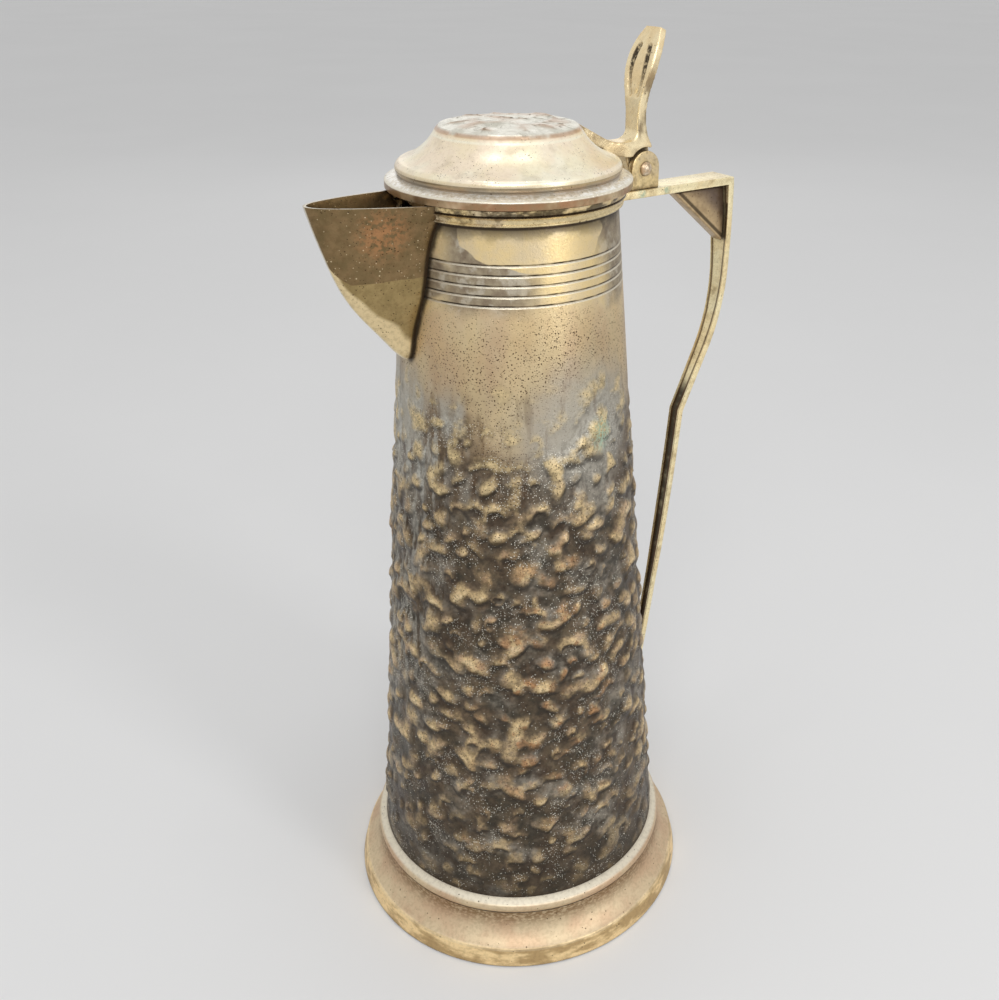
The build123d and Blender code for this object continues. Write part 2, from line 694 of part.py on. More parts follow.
with BuildPart() as recesses:
    with BuildSketch(Plane.YZ):
        with BuildLine(mode=Mode.PRIVATE) as recess_line:
            ThreePointArc(
                (RECESS_LOW[0], PIN_Z + RECESS_LOW[1]),
                (RECESS_MIDDLE[0], PIN_Z + RECESS_MIDDLE[1]),
                (RECESS_HIGH[0], PIN_Z + RECESS_HIGH[1]),
            )
        SlotArc(recess_line.wire(), RECESS_WIDTH)
        mirror(about=Plane.YZ)
    extrude(amount=BIG)
    add(lever_block.part, mode=Mode.INTERSECT)
    with Locations((RECESS_DEPTH, 0, 0)):
        add(lever_block.part, mode=Mode.SUBTRACT)

knuckle_half = slot_half - KNUCKLE_CLEARANCE
neck_angle = radians(KNUCKLE_NECK_ANGLE)
with BuildPart() as thumb_lever:
    add(lever_block.part)
    with BuildSketch(Plane.YZ):
        with BuildLine():
            head_z = PIN_Z + HEAD_TOP[1] + HEAD_ROUND
            Polyline(
                (0, PIN_Z),
                (LEVER_ROOT_HALF_WIDTH, PIN_Z),
                (LEVER_ROOT_HALF_WIDTH, PIN_Z + HEEL[1]),
                (WAIST_HALF_WIDTH, PIN_Z + HEEL_NARROW_HEIGHT),
            )
            Spline(
                (WAIST_HALF_WIDTH, PIN_Z + HEEL_NARROW_HEIGHT),
                (WAIST_HALF_WIDTH + WAIST_SPREAD, PIN_Z + WAIST_HEIGHT),
                (HEAD_HALF_WIDTH, PIN_Z + HEAD_WIDEST_HEIGHT),
                tangents=[(0, 1), (0, 1)],
            )
            TangentArc(
                (HEAD_HALF_WIDTH, PIN_Z + HEAD_WIDEST_HEIGHT),
                (HEAD_TOP_HALF_WIDTH, head_z),
                tangent=(0, 1),
            )
            Polyline((HEAD_TOP_HALF_WIDTH, head_z), (0, head_z), (0, PIN_Z))
        make_face()
        mirror(about=Plane.YZ)
    extrude(amount=BIG, mode=Mode.INTERSECT)
    with BuildSketch(Plane.XY.offset(PIN_Z)):
        root_x = PIN_X - LEVER_ROOT[0]
        waist_x = PIN_X - WAIST_FRONT[0]
        Polygon(
            (LEVER_TIP[0] - CUT, -LEVER_TIP_HALF_WIDTH),
            (root_x, -LEVER_ROOT_HALF_WIDTH),
            (waist_x, -LEVER_ROOT_HALF_WIDTH),
            (waist_x, -BIG),
            (BIG, -BIG),
            (BIG, BIG),
            (waist_x, BIG),
            (waist_x, LEVER_ROOT_HALF_WIDTH),
            (root_x, LEVER_ROOT_HALF_WIDTH),
            (LEVER_TIP[0] - CUT, LEVER_TIP_HALF_WIDTH),
            align=None,
        )
    extrude(amount=BIG, mode=Mode.INTERSECT)
    add(recesses.part, mode=Mode.SUBTRACT)
    add(dome_core, mode=Mode.SUBTRACT)
    with BuildSketch(Plane.XZ):
        with Locations((PIN_X, PIN_Z)):
            Circle(FORK_RADIUS + ARCH_CLEARANCE)
    extrude(amount=FORK_HALF_WIDTH, both=True, mode=Mode.SUBTRACT)
    with BuildSketch(Plane.XZ):
        Polygon(
            from_pin(*LEVER_SADDLE),
            from_pin(*HEEL),
            from_pin(-KNUCKLE_RADIUS * cos(neck_angle), KNUCKLE_RADIUS * sin(neck_angle)),
            from_pin(KNUCKLE_RADIUS, -PIN_RADIUS),
            align=None,
        )
        with Locations((PIN_X, PIN_Z)):
            Circle(KNUCKLE_RADIUS)
    extrude(amount=knuckle_half, both=True)
    with BuildSketch(Plane.XZ):
        with Locations((PIN_X, PIN_Z)):
            Circle(PIN_RADIUS + PIN_CLEARANCE)
    extrude(amount=FORK_HALF_WIDTH, both=True, mode=Mode.SUBTRACT)
finish(thumb_lever, "thumb_lever")
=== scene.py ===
"""Looks of a tapered brass jug: a hammered body, spun foot and lid, cast handle and hinge.

Metres, +Z up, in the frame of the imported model: +X points to the handle and -X to the
spout. New pieces stand for the plain solids and keep their places and outer sizes.
"""
import json
import math

import bpy
import numpy as np
from mathutils import Matrix, Vector, noise
from mathutils.bvhtree import BVHTree


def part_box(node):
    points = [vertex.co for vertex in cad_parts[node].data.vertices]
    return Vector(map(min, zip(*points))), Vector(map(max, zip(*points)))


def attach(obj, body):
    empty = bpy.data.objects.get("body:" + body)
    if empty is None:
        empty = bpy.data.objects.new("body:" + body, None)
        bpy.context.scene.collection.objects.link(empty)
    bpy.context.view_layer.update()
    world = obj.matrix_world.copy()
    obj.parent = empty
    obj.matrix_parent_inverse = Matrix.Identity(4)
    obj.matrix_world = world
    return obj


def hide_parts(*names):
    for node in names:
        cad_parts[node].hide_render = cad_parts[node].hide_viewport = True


bl_info = {
    "name": "Brass jug with a hinged lid",
    "version": (1, 0, 0),
    "blender": (4, 5, 0),
    "location": "3D View > Sidebar > Jug",
    "description": "Models the jug's pieces and finishes round its fixed frame",
    "category": "Object",
}

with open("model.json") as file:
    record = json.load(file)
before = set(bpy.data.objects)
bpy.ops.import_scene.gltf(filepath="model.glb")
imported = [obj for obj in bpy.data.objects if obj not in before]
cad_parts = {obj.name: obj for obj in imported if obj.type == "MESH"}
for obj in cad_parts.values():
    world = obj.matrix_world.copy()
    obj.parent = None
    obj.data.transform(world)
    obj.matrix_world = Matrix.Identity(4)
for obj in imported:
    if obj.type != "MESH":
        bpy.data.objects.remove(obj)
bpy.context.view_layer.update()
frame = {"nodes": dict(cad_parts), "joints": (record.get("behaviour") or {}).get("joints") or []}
MM = 0.001


def reach(node, height, pick=max):
    """Largest or smallest radius of a fixed node's vertices at a height."""
    vertices = frame["nodes"][node].data.vertices
    return pick(v.co.xy.length for v in vertices if abs(v.co.z - height) < 0.3 * MM)


# Places read from the frame
BODY_LOW_Z, BODY_TOP_Z = (corner.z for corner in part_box("body_shell"))
BODY_FOOT_RADIUS = reach("body_shell", BODY_LOW_Z)
MOUTH_RADIUS = reach("body_shell", BODY_TOP_Z)
WALL = BODY_FOOT_RADIUS - reach("body_shell", BODY_LOW_Z, min)
CONE_SLOPE = (BODY_FOOT_RADIUS - MOUTH_RADIUS) / (BODY_TOP_Z - BODY_LOW_Z)
FOOT_TOP_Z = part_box("foot_ring")[1].z
BEAD_TOP_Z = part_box("foot_bead")[1].z
COLLAR_LOW_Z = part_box("collar_lower")[0].z
COLLAR_SPLIT_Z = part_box("collar_upper")[0].z
SPOUT_TOP_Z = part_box("spout")[1].z
RIM_TOP_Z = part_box("lid_rim")[1].z
DOME_TOP_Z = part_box("lid_dome")[1].z
HANDLE_HALF_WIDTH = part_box("handle_strap")[1].y
PIN_Z = frame["joints"][0]["pos_m"][2]

# Heights at which a finish changes
FOOT_BAND_Z = FOOT_TOP_Z - 12.5 * MM
CROWN_EDGE_Z = DOME_TOP_Z - 2.0 * MM
KINK_Z = 205 * MM

# Places whose finish differs: gold patches, partly a painted reflection, cool patches, a left edge of
# painted reflection, coppery knobs, green and red spots
NECK_GOLD_REFLECTION = Vector((-13, -35, 287)) * MM
NECK_GOLD_REFLECTION_LOW = Vector((0, -39, 266)) * MM
BLUE_PATCH = Vector((2, -42, 222)) * MM
LEFT_EDGE_REFLECTION = Vector((-43, 6, 205)) * MM
GREEN_BODY = Vector((8.9, -41.8, 216)) * MM
GREEN_NEAR = Vector((53, -6, 286)) * MM
GREEN_FAR = Vector((64.8, -6, 286)) * MM
COPPER_AREA = Vector((-14, -48, 120)) * MM
SPOUT_RED = Vector((-52, -9, 286)) * MM
FRONT_RIGHT = (0.81, -0.59)

# The two recesses in the thumbpiece: height of their middle over the pin, place and bow
RECESS_RISE = 34.5 * MM
RECESS_ASIDE = 3.6 * MM
RECESS_BOW = 20.0


def cone_radius(z):
    """Outer radius of the body's plain cone at a height."""
    return MOUTH_RADIUS + CONE_SLOPE * (BODY_TOP_Z - z)


def tone(red, green, blue):
    """A colour given by its screen values from 0 to 255, as linear values."""
    parts = (red / 255, green / 255, blue / 255)
    return tuple(p / 12.92 if p <= 0.04045 else ((p + 0.055) / 1.055) ** 2.4 for p in parts)


# Tones of single finishes, besides the colours that a user can change
# The neck's film tones are partly a painted dark reflection round the gold
NECK_FILM, NECK_FILM_DARK = tone(176, 162, 136), tone(140, 124, 104)
# The pale streak tone paints a reflection at the body's left edge
PALE_REFLECTION_STREAK, RUBBED_UPPER, TOP_CORE = tone(206, 206, 198), tone(232, 208, 158), tone(246, 226, 184)
HOLLOW_BROWN, HOLLOW_GREY = tone(60, 44, 29), tone(52, 48, 38)
FOOT_CREAM, FOOT_ROSE = tone(214, 194, 160), tone(204, 174, 142)
FOOT_GOLD, FOOT_BROWN, FOOT_STRIP = tone(246, 218, 166), tone(160, 130, 84), tone(120, 90, 52)
COLLAR_SMOOTH = tone(232, 212, 164)
# The spout's clean and film tones are partly a painted reflection, and the keel tone is a painted highlight
SPOUT_CLEAN, SPOUT_CLEAN_DARK = tone(166, 144, 98), tone(144, 124, 82)
SPOUT_FILM, SPOUT_KEEL_HIGHLIGHT = tone(136, 112, 78), tone(240, 218, 172)
LID_YELLOW, LID_INSIDE = tone(248, 234, 188), tone(186, 164, 124)
CROWN_PALE, CROWN_GREY = tone(240, 236, 222), tone(210, 206, 190)
CROWN_RIDGE, CROWN_DIP = tone(178, 142, 106), tone(250, 246, 232)
# Ledge tones paint the shade on the lid's lower belly
LEDGE_SHADE_BROWN, LEDGE_SHADE_GREY = tone(184, 160, 132), tone(166, 156, 140)
# Rim white partly paints a highlight on the rim's top, and rim brown partly paints shade on its lower face
RIM_WHITE, RIM_PALE = tone(255, 252, 244), tone(222, 212, 192)
RIM_BROWN, RIM_COPPER = tone(152, 124, 90), tone(160, 120, 86)
LEVER_PALE, LEVER_GOLD = tone(250, 232, 190), tone(236, 210, 162)
WEB_GOLD, WEB_VIOLET = tone(198, 172, 132), tone(116, 100, 88)
HANDLE_PALE, HANDLE_GOLD = tone(254, 240, 196), tone(248, 226, 176)


def length(name, default, description):
    """A length that a user can change, with its default in millimetres."""
    return bpy.props.FloatProperty(
        name=name, description=description, default=default * MM, unit="LENGTH", precision=5
    )


def colour(name, default, description):
    """A colour that a user can change, with its default as screen values from 0 to 255."""
    return bpy.props.FloatVectorProperty(
        name=name, description=description, default=tone(*default), subtype="COLOR", size=3, min=0, max=1
    )


class JugSizes(bpy.types.PropertyGroup):
    """Sizes of the jug's worked surfaces and softened edges."""

    knob_height: length("Knob height", 1.6, "How far a knob rises from the hollows round it")
    knob_width: length("Knob width", 7.8, "Width of a usual knob on the body")
    knob_spacing: length("Knob spacing", 8.2, "Distance from one knob to the next")
    hollow_depth: length("Hollow depth", 0.55, "How far the hollows sink into the cone")
    swell_height: length("Swell height", 0.6, "How far a broad lump lifts the knobs on it")
    relief_start: length("Relief start", 238, "Height at which the first knobs show")
    relief_full: length("Relief full", 198, "Height below which the knobs are at their full size")
    line_drop: length("Line drop", 17.8, "How far the first engraved line lies below the mouth")
    line_pitch: length("Line pitch", 3.25, "Distance from one engraved line to the next")
    line_width: length("Line width", 0.9, "Width of an engraved line")
    line_depth: length("Line depth", 0.4, "Depth of an engraved line")
    line_count: bpy.props.IntProperty(
        name="Lines", description="How many lines are engraved round the neck", default=5, min=1
    )
    gate_half_width: length("Gate half width", 10.5, "Half the width of the opening behind the spout")
    gate_depth: length("Gate depth", 43.6, "How far the opening behind the spout reaches down")
    channel_border: length("Channel border", 1.1, "Width of the rims beside the strap's channel")
    channel_depth: length("Channel depth", 0.45, "Depth of the channel inside the strap")
    cast_edge: length("Cast edge", 0.5, "Width of the softened edges of cast pieces")
    spun_edge: length("Spun edge", 0.35, "Width of the softened edges of spun pieces")
    crown_dent: length("Crown dent", 1.3, "Depth of the hammer dents on top of the lid")


class JugColours(bpy.types.PropertyGroup):
    """Colours of the brass and of what time has left on it."""

    gold: colour("Gold", (238, 212, 156), "Bare brass that is still yellow")
    # Satin also paints the highlight along the lid's belly
    satin: colour("Satin", (226, 206, 168), "Pale dulled brass")
    rose: colour("Rose", (212, 182, 146), "Warm pinkish dulled brass")
    silver: colour("Silver", (222, 214, 196), "Whitish worn surface of rims and edges")
    tarnish: colour("Tarnish", (150, 134, 110), "Grey brown film on the neck")
    # Also paints the cool reflection at the body's left edge
    cool_film_and_reflection: colour("Blue film", (184, 180, 168), "Cool grey film of the upper relief")
    violet_film: colour("Violet film", (108, 90, 70), "Warm grey film between the knobs")
    flank: colour("Flank", (96, 83, 63), "Brown grey of the relief")
    # The hollow colour also paints shade under the knobs, on the engraved lines' upper sides, in the strap's
    # channel and partly in the lever's recesses
    hollow: colour("Hollow", (42, 34, 24), "Dark dirt between and under the knobs")
    bump: colour("Rubbed top", (222, 194, 146), "Gold of the knobs' rubbed tops")
    copper: colour("Copper", (184, 132, 88), "Reddish spots where the yellow has gone")
    # The pit colour also paints the shade in corners
    pit: colour("Pit", (66, 46, 26), "Dark corroded pits")
    # The olive film on the spout is partly a painted dark reflection
    olive: colour("Olive", (114, 96, 64), "Brown green film of the spout")
    # The stain colour also paints shade on the handle's downward faces and low on the lever
    stain: colour("Stain", (88, 60, 32), "Brown in corners and channels")
    verdigris: colour("Verdigris", (176, 204, 180), "Green corrosion")
    dust: colour("Dust", (232, 228, 214), "Pale dust specks")
    # Painted highlight on the engraved lines and on the edges of the foot, bead, spout and lid rim; also the
    # pin's pale worn tone
    highlight_and_worn: colour("Line light", (232, 224, 204), "Bright worn side of an engraved line")
    # Lid cream also paints the highlight line below the crown's edge
    lid_cream: colour("Lid cream", (255, 248, 224), "Pale rubbed brass of the lid")
    lid_rose: colour("Lid rose", (250, 230, 204), "Pinkish rubbed brass of the lid")
    floor: colour("Floor", (236, 236, 236), "Plain pale floor")


# Modelling helpers


def select_only(*pieces):
    """Leave these objects selected and the last one active, in object mode."""
    bpy.ops.object.select_all(action="DESELECT")
    for piece in pieces:
        piece.select_set(True)
        bpy.context.view_layer.objects.active = piece


def named(name):
    """Name the object that was just added, and its mesh."""
    piece = bpy.context.object
    piece.name = piece.data.name = name
    return piece


def set_mode(mode):
    """Go to object mode or to edit mode."""
    bpy.ops.object.mode_set(mode=mode)


def edit(piece, kind, wanted):
    """Enter edit mode with only the faces, or the edges by their ends, that pass a test."""
    select_only(piece)
    set_mode("EDIT")
    bpy.ops.mesh.select_mode(type=kind)
    bpy.ops.mesh.select_all(action="DESELECT")
    set_mode("OBJECT")
    if kind == "EDGE":
        for edge in piece.data.edges:
            edge.select = wanted(*(piece.data.vertices[i].co for i in edge.vertices))
    else:
        for face in piece.data.polygons:
            face.select = wanted(face)
    set_mode("EDIT")


def turn_outwards():
    """In edit mode, point all faces outwards, and go back to object mode."""
    bpy.ops.mesh.select_all(action="SELECT")
    bpy.ops.mesh.normals_make_consistent(inside=False)
    set_mode("OBJECT")


def apply_modifier(piece, kind, **settings):
    """Add a modifier with these settings and apply it."""
    select_only(piece)
    modifier = piece.modifiers.new(kind.title(), kind)
    for key, value in settings.items():
        setattr(modifier, key, value)
    bpy.ops.object.modifier_apply(modifier=modifier.name)


def soften(piece, width, segments=3, sharper_than=25):
    """Round the edges that turn by more than an angle in degrees."""
    apply_modifier(
        piece, "BEVEL", width=width, segments=segments, limit_method="ANGLE",
        angle_limit=math.radians(sharper_than), use_clamp_overlap=True, harden_normals=False,
    )


def shade(piece, angle=35):
    """Shade smooth, except over edges sharper than an angle in degrees."""
    select_only(piece)
    bpy.ops.object.shade_smooth_by_angle(angle=math.radians(angle))


def copied(node, name):
    """A merged copy of a fixed node's mesh, as the start of a softened piece."""
    piece = bpy.data.objects.new(name, frame["nodes"][node].data.copy())
    piece.data.name = name
    bpy.context.scene.collection.objects.link(piece)
    select_only(piece)
    set_mode("EDIT")
    bpy.ops.mesh.select_all(action="SELECT")
    bpy.ops.mesh.remove_doubles(threshold=0.002 * MM)
    bpy.ops.mesh.customdata_custom_splitnormals_clear()
    bpy.ops.mesh.dissolve_limited(angle_limit=math.radians(0.4))
    set_mode("OBJECT")
    return piece


def complete(piece, body, slot, material, *nodes):
    """Give a piece its finish and its body, and hide the nodes that it stands for. The slot is not used."""
    piece.data.materials.clear()
    piece.data.materials.append(material)
    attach(piece, body)
    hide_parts(*nodes)


def softened(node, name, body, slot, material, width, segments=3, sharper_than=25, smooth=35):
    """Model a piece as a fixed node's shape with rounded edges, and complete it."""
    piece = copied(node, name)
    soften(piece, width, segments, sharper_than)
    shade(piece, smooth)
    complete(piece, body, slot, material, node)


def refinish(node, material):
    """Give a fixed node a better finish."""
    for place in frame["nodes"][node].material_slots:
        place.material = material


# Material helpers


class Value:
    """A value in a material. Signs and methods add Math nodes; | takes the larger value."""

    def __init__(self, socket):
        self.socket = socket

    def math(self, operation, *others):
        return calc(self.socket.id_data, operation, self, *others)

    def __add__(self, other):
        return self.math("ADD", other)

    def __sub__(self, other):
        return self.math("SUBTRACT", other)

    def __rsub__(self, other):
        return calc(self.socket.id_data, "SUBTRACT", other, self)

    def __mul__(self, other):
        return self.math("MULTIPLY", other)

    def __truediv__(self, other):
        return self.math("DIVIDE", other)

    def __or__(self, other):
        return self.math("MAXIMUM", other)

    def __abs__(self):
        return self.math("ABSOLUTE")

    def scaled(self, factor, offset):
        """This value times a factor, plus an offset."""
        return self.math("MULTIPLY_ADD", factor, offset)

    def step(self, low, high, to_low=0.0, to_high=1.0):
        """A smooth step from one limit to the other."""
        node = put(
            self.socket.id_data, "MapRange", {"interpolation_type": "SMOOTHSTEP"},
            Value=self, From_Min=low, From_Max=high, To_Min=to_low, To_Max=to_high,
        )
        return Value(node.outputs[0])

    def near(self, middle, none, full):
        """A mask of values near a middle: full up to one distance, none past another."""
        return abs(self - middle).step(none, full)

    def ring(self, level, rise, full, last, fall):
        """A mask from rise to fall mm from a level, and full between the other two."""
        lower = self.step(level + rise * MM, level + full * MM)
        return lower * self.step(level + fall * MM, level + last * MM)


def feed(socket, value):
    """Link an output to a socket, or set its value."""
    value = getattr(value, "socket", value)
    if isinstance(value, bpy.types.NodeSocket):
        socket.id_data.links.new(value, socket)
    elif socket.type == "RGBA":
        socket.default_value = (*value[:3], 1)
    else:
        socket.default_value = value


def put(tree, kind, settings=None, **inputs):
    """Add a node. Each input is a value or another node's output, spaces written as _."""
    node = tree.nodes.new("ShaderNode" + kind)
    for key, value in (settings or {}).items():
        setattr(node, key, value)
    for key, value in inputs.items():
        feed(node.inputs[key.replace("_", " ")], value)
    return node


def calc(tree, operation, *values):
    """A Math node's result."""
    node = put(tree, "Math", {"operation": operation})
    for socket, value in zip(node.inputs, values):
        feed(socket, value)
    return Value(node.outputs[0])


def vector_calc(tree, operation, *values):
    """A Vector Math node's outputs."""
    node = put(tree, "VectorMath", {"operation": operation})
    for socket, value in zip(node.inputs, values):
        feed(socket, value)
    return node.outputs


def blend(share, first, second):
    """Two colours mixed by a share from 0 to 1."""
    node = put(share.socket.id_data, "Mix", {"data_type": "RGBA", "blend_type": "MIX"})
    colours = [s for s in node.inputs if s.type == "RGBA"]
    for socket, value in zip((node.inputs[0], *colours), (share, first, second)):
        feed(socket, value)
    return [s for s in node.outputs if s.type == "RGBA"][0]


def start_group(name, outputs, **inputs):
    """An empty shader node group with named number inputs, and a Vector one where asked."""
    tree = bpy.data.node_groups.new(name, "ShaderNodeTree")
    for label, default in inputs.items():
        kind = "Vector" if default is None else "Float"
        socket = tree.interface.new_socket(label, in_out="INPUT", socket_type="NodeSocket" + kind)
        if default is not None:
            socket.default_value = default
    for label in outputs:
        tree.interface.new_socket(label, in_out="OUTPUT", socket_type="NodeSocketFloat")
    return tree, tree.nodes.new("NodeGroupInput").outputs, tree.nodes.new("NodeGroupOutput").inputs


def sized(tree, given):
    """A group's Vector in units of its Size, drawn out upwards by its Stretch."""
    inverse = calc(tree, "DIVIDE", 1.0, given["Size"])
    scale = put(tree, "CombineXYZ", X=inverse, Y=inverse, Z=inverse / given["Stretch"]).outputs[0]
    return vector_calc(tree, "MULTIPLY", given["Vector"], scale)[0]


def make_cloud_group():
    """Soft patches of a given size: a mask and the plain value."""
    tree, given, result = start_group(
        "cloud", ["Mask", "Value"], Vector=None, Size=10 * MM, Stretch=1.0,
        Middle=0.5, Softness=0.1, Seed=0.0, Detail=4.0,
    )
    texture = put(
        tree, "TexNoise", {"noise_dimensions": "4D"}, Vector=sized(tree, given),
        W=given["Seed"], Scale=1.0, Detail=given["Detail"], Roughness=0.58,
    )
    value, middle = Value(texture.outputs[0]), Value(given["Middle"])
    mask = value.step(middle - given["Softness"], middle + given["Softness"])
    feed(result["Mask"], mask)
    feed(result["Value"], value)


def make_dots_group():
    """Scattered dots: Share of the cells hold one, and each is up to Width cells wide."""
    tree, given, result = start_group(
        "dots", ["Mask"], Vector=None, Size=1 * MM, Stretch=1.0, Share=0.3, Width=0.35, Seed=0.0
    )
    shift = calc(tree, "MULTIPLY", given["Seed"], 7.3)
    place = vector_calc(tree, "ADD", sized(tree, given), shift)[0]
    cells = put(tree, "TexVoronoi", Vector=place, Scale=1.0)
    chance, width = put(tree, "SeparateColor", Color=cells.outputs["Color"]).outputs[:2]
    chosen = Value(chance).math("LESS_THAN", given["Share"])
    wide = Value(given["Width"]) * Value(width).scaled(0.6, 0.4)
    dot = Value(cells.outputs["Distance"]).step(wide * 0.55, wide, 1.0, 0.0)
    feed(result["Mask"], dot * chosen)


def make_occlusion_shade_group():
    """Painted shade where other surfaces are close in front of this one."""
    tree, given, result = start_group("crevice", ["Mask"], Reach=3 * MM)
    occlusion = put(tree, "AmbientOcclusion", {"samples": 6}, Distance=given["Reach"])
    feed(result["Mask"], Value(occlusion.outputs["AO"]).step(0.45, 0.95, 1.0, 0.0))


class Finish:
    """A material under construction, with shortcuts to the shared node groups."""

    def __init__(self, name):
        self.material = bpy.data.materials.new(name)
        self.material.use_nodes = True
        self.tree = self.material.node_tree
        self.shader = self.tree.nodes["Principled BSDF"]
        self.place = put(self.tree, "TexCoord").outputs["Object"]
        self.x, self.y, self.z = self.parts(self.place)
        self.seed = 0.0

    def parts(self, vector):
        """A vector's three values."""
        return [Value(s) for s in put(self.tree, "SeparateXYZ", Vector=vector).outputs]

    def facing(self):
        """The three values of the surface's normal."""
        return self.parts(put(self.tree, "TexCoord").outputs["Normal"])

    def attribute(self, name):
        """A value stored on the mesh's points."""
        return Value(put(self.tree, "Attribute", {"attribute_name": name}).outputs["Fac"])

    def group(self, name, output, **inputs):
        """Place a shared group and return one of its outputs."""
        node = self.tree.nodes.new("ShaderNodeGroup")
        node.node_tree = bpy.data.node_groups[name]
        for key, value in inputs.items():
            feed(node.inputs[key], value)
        return Value(node.outputs[output])

    def next_seed(self):
        self.seed += 1.7
        return self.seed

    def cloud(self, size, middle=0.5, softness=0.1, stretch=1.0, detail=4.0):
        """A mask of soft patches, each call with its own seed."""
        return self.group(
            "cloud", "Mask", Vector=self.place, Size=size, Stretch=stretch, Middle=middle,
            Softness=softness, Seed=self.next_seed(), Detail=detail,
        )

    def grain(self, size, stretch=1.0, detail=3.0):
        """A plain noise value from about 0.3 to 0.7."""
        return self.group(
            "cloud", "Value", Vector=self.place, Size=size, Stretch=stretch,
            Seed=self.next_seed(), Detail=detail,
        )

    def dots(self, size, share, width=0.35):
        """A mask of scattered dots, each call with its own seed."""
        return self.group(
            "dots", "Mask", Vector=self.place, Size=size, Share=share, Width=width,
            Stretch=1.0, Seed=self.next_seed(),
        )

    def spot(self, place, reach, soft, stretch=1.0, wander=0.0):
        """A mask round one place, out to reach sideways and stretch times that upwards."""
        self.next_seed()
        offset = vector_calc(self.tree, "SUBTRACT", self.place, place)[0]
        drawn = vector_calc(self.tree, "MULTIPLY", offset, (1, 1, 1 / stretch))[0]
        far = Value(vector_calc(self.tree, "LENGTH", drawn)["Value"])
        ragged = self.grain(0.7 * reach).scaled(wander, -0.5 * wander)
        return (far + ragged).step(reach + soft, reach - soft)

    def crevice(self, distance):
        """A mask of painted shade where this surface lies deep beside other surfaces."""
        return self.group("crevice", "Mask", Reach=distance)

    def weathered(self, base, colours, pits, pit_size, roughness, metallic, reach, dirt_and_shade=0.85, mottling=0.18):
        """Add pits, fine mottling and painted shade in the corners, and link it all to the shader."""
        base = blend(self.cloud(1.3 * MM, 0.54, 0.10) * mottling, base, colours.stain)
        marks = self.dots(pit_size, pits, 0.34) * self.cloud(14 * MM, 0.46, 0.10)
        base = blend(marks * 0.85, base, colours.pit)
        # Painted shade: darker and less metallic where other surfaces are close in front
        deep = self.crevice(reach)
        base = blend(deep * dirt_and_shade, base, colours.pit)
        fine = self.grain(0.7 * MM)
        rough = marks.scaled(0.3, fine.scaled(0.22, roughness - 0.1))
        shine = deep.step(0.0, 1.0, metallic, 0.4 * metallic)
        return self.close(base, rough, shine, marks.scaled(-1.0, fine * 0.5), 0.08 * MM)

    def close(self, colour, roughness, metallic, height=None, depth=0.1 * MM):
        """Link the results to the shader."""
        results = {"Base Color": colour, "Roughness": roughness, "Metallic": metallic}
        if height is not None:
            bump = put(self.tree, "Bump", Height=height, Distance=depth, Strength=1.0)
            results["Normal"] = bump.outputs["Normal"]
        for name, value in results.items():
            feed(self.shader.inputs[name], value)
        return self.material


# Materials. A step's two first numbers are where it starts and ends; lengths are in metres.


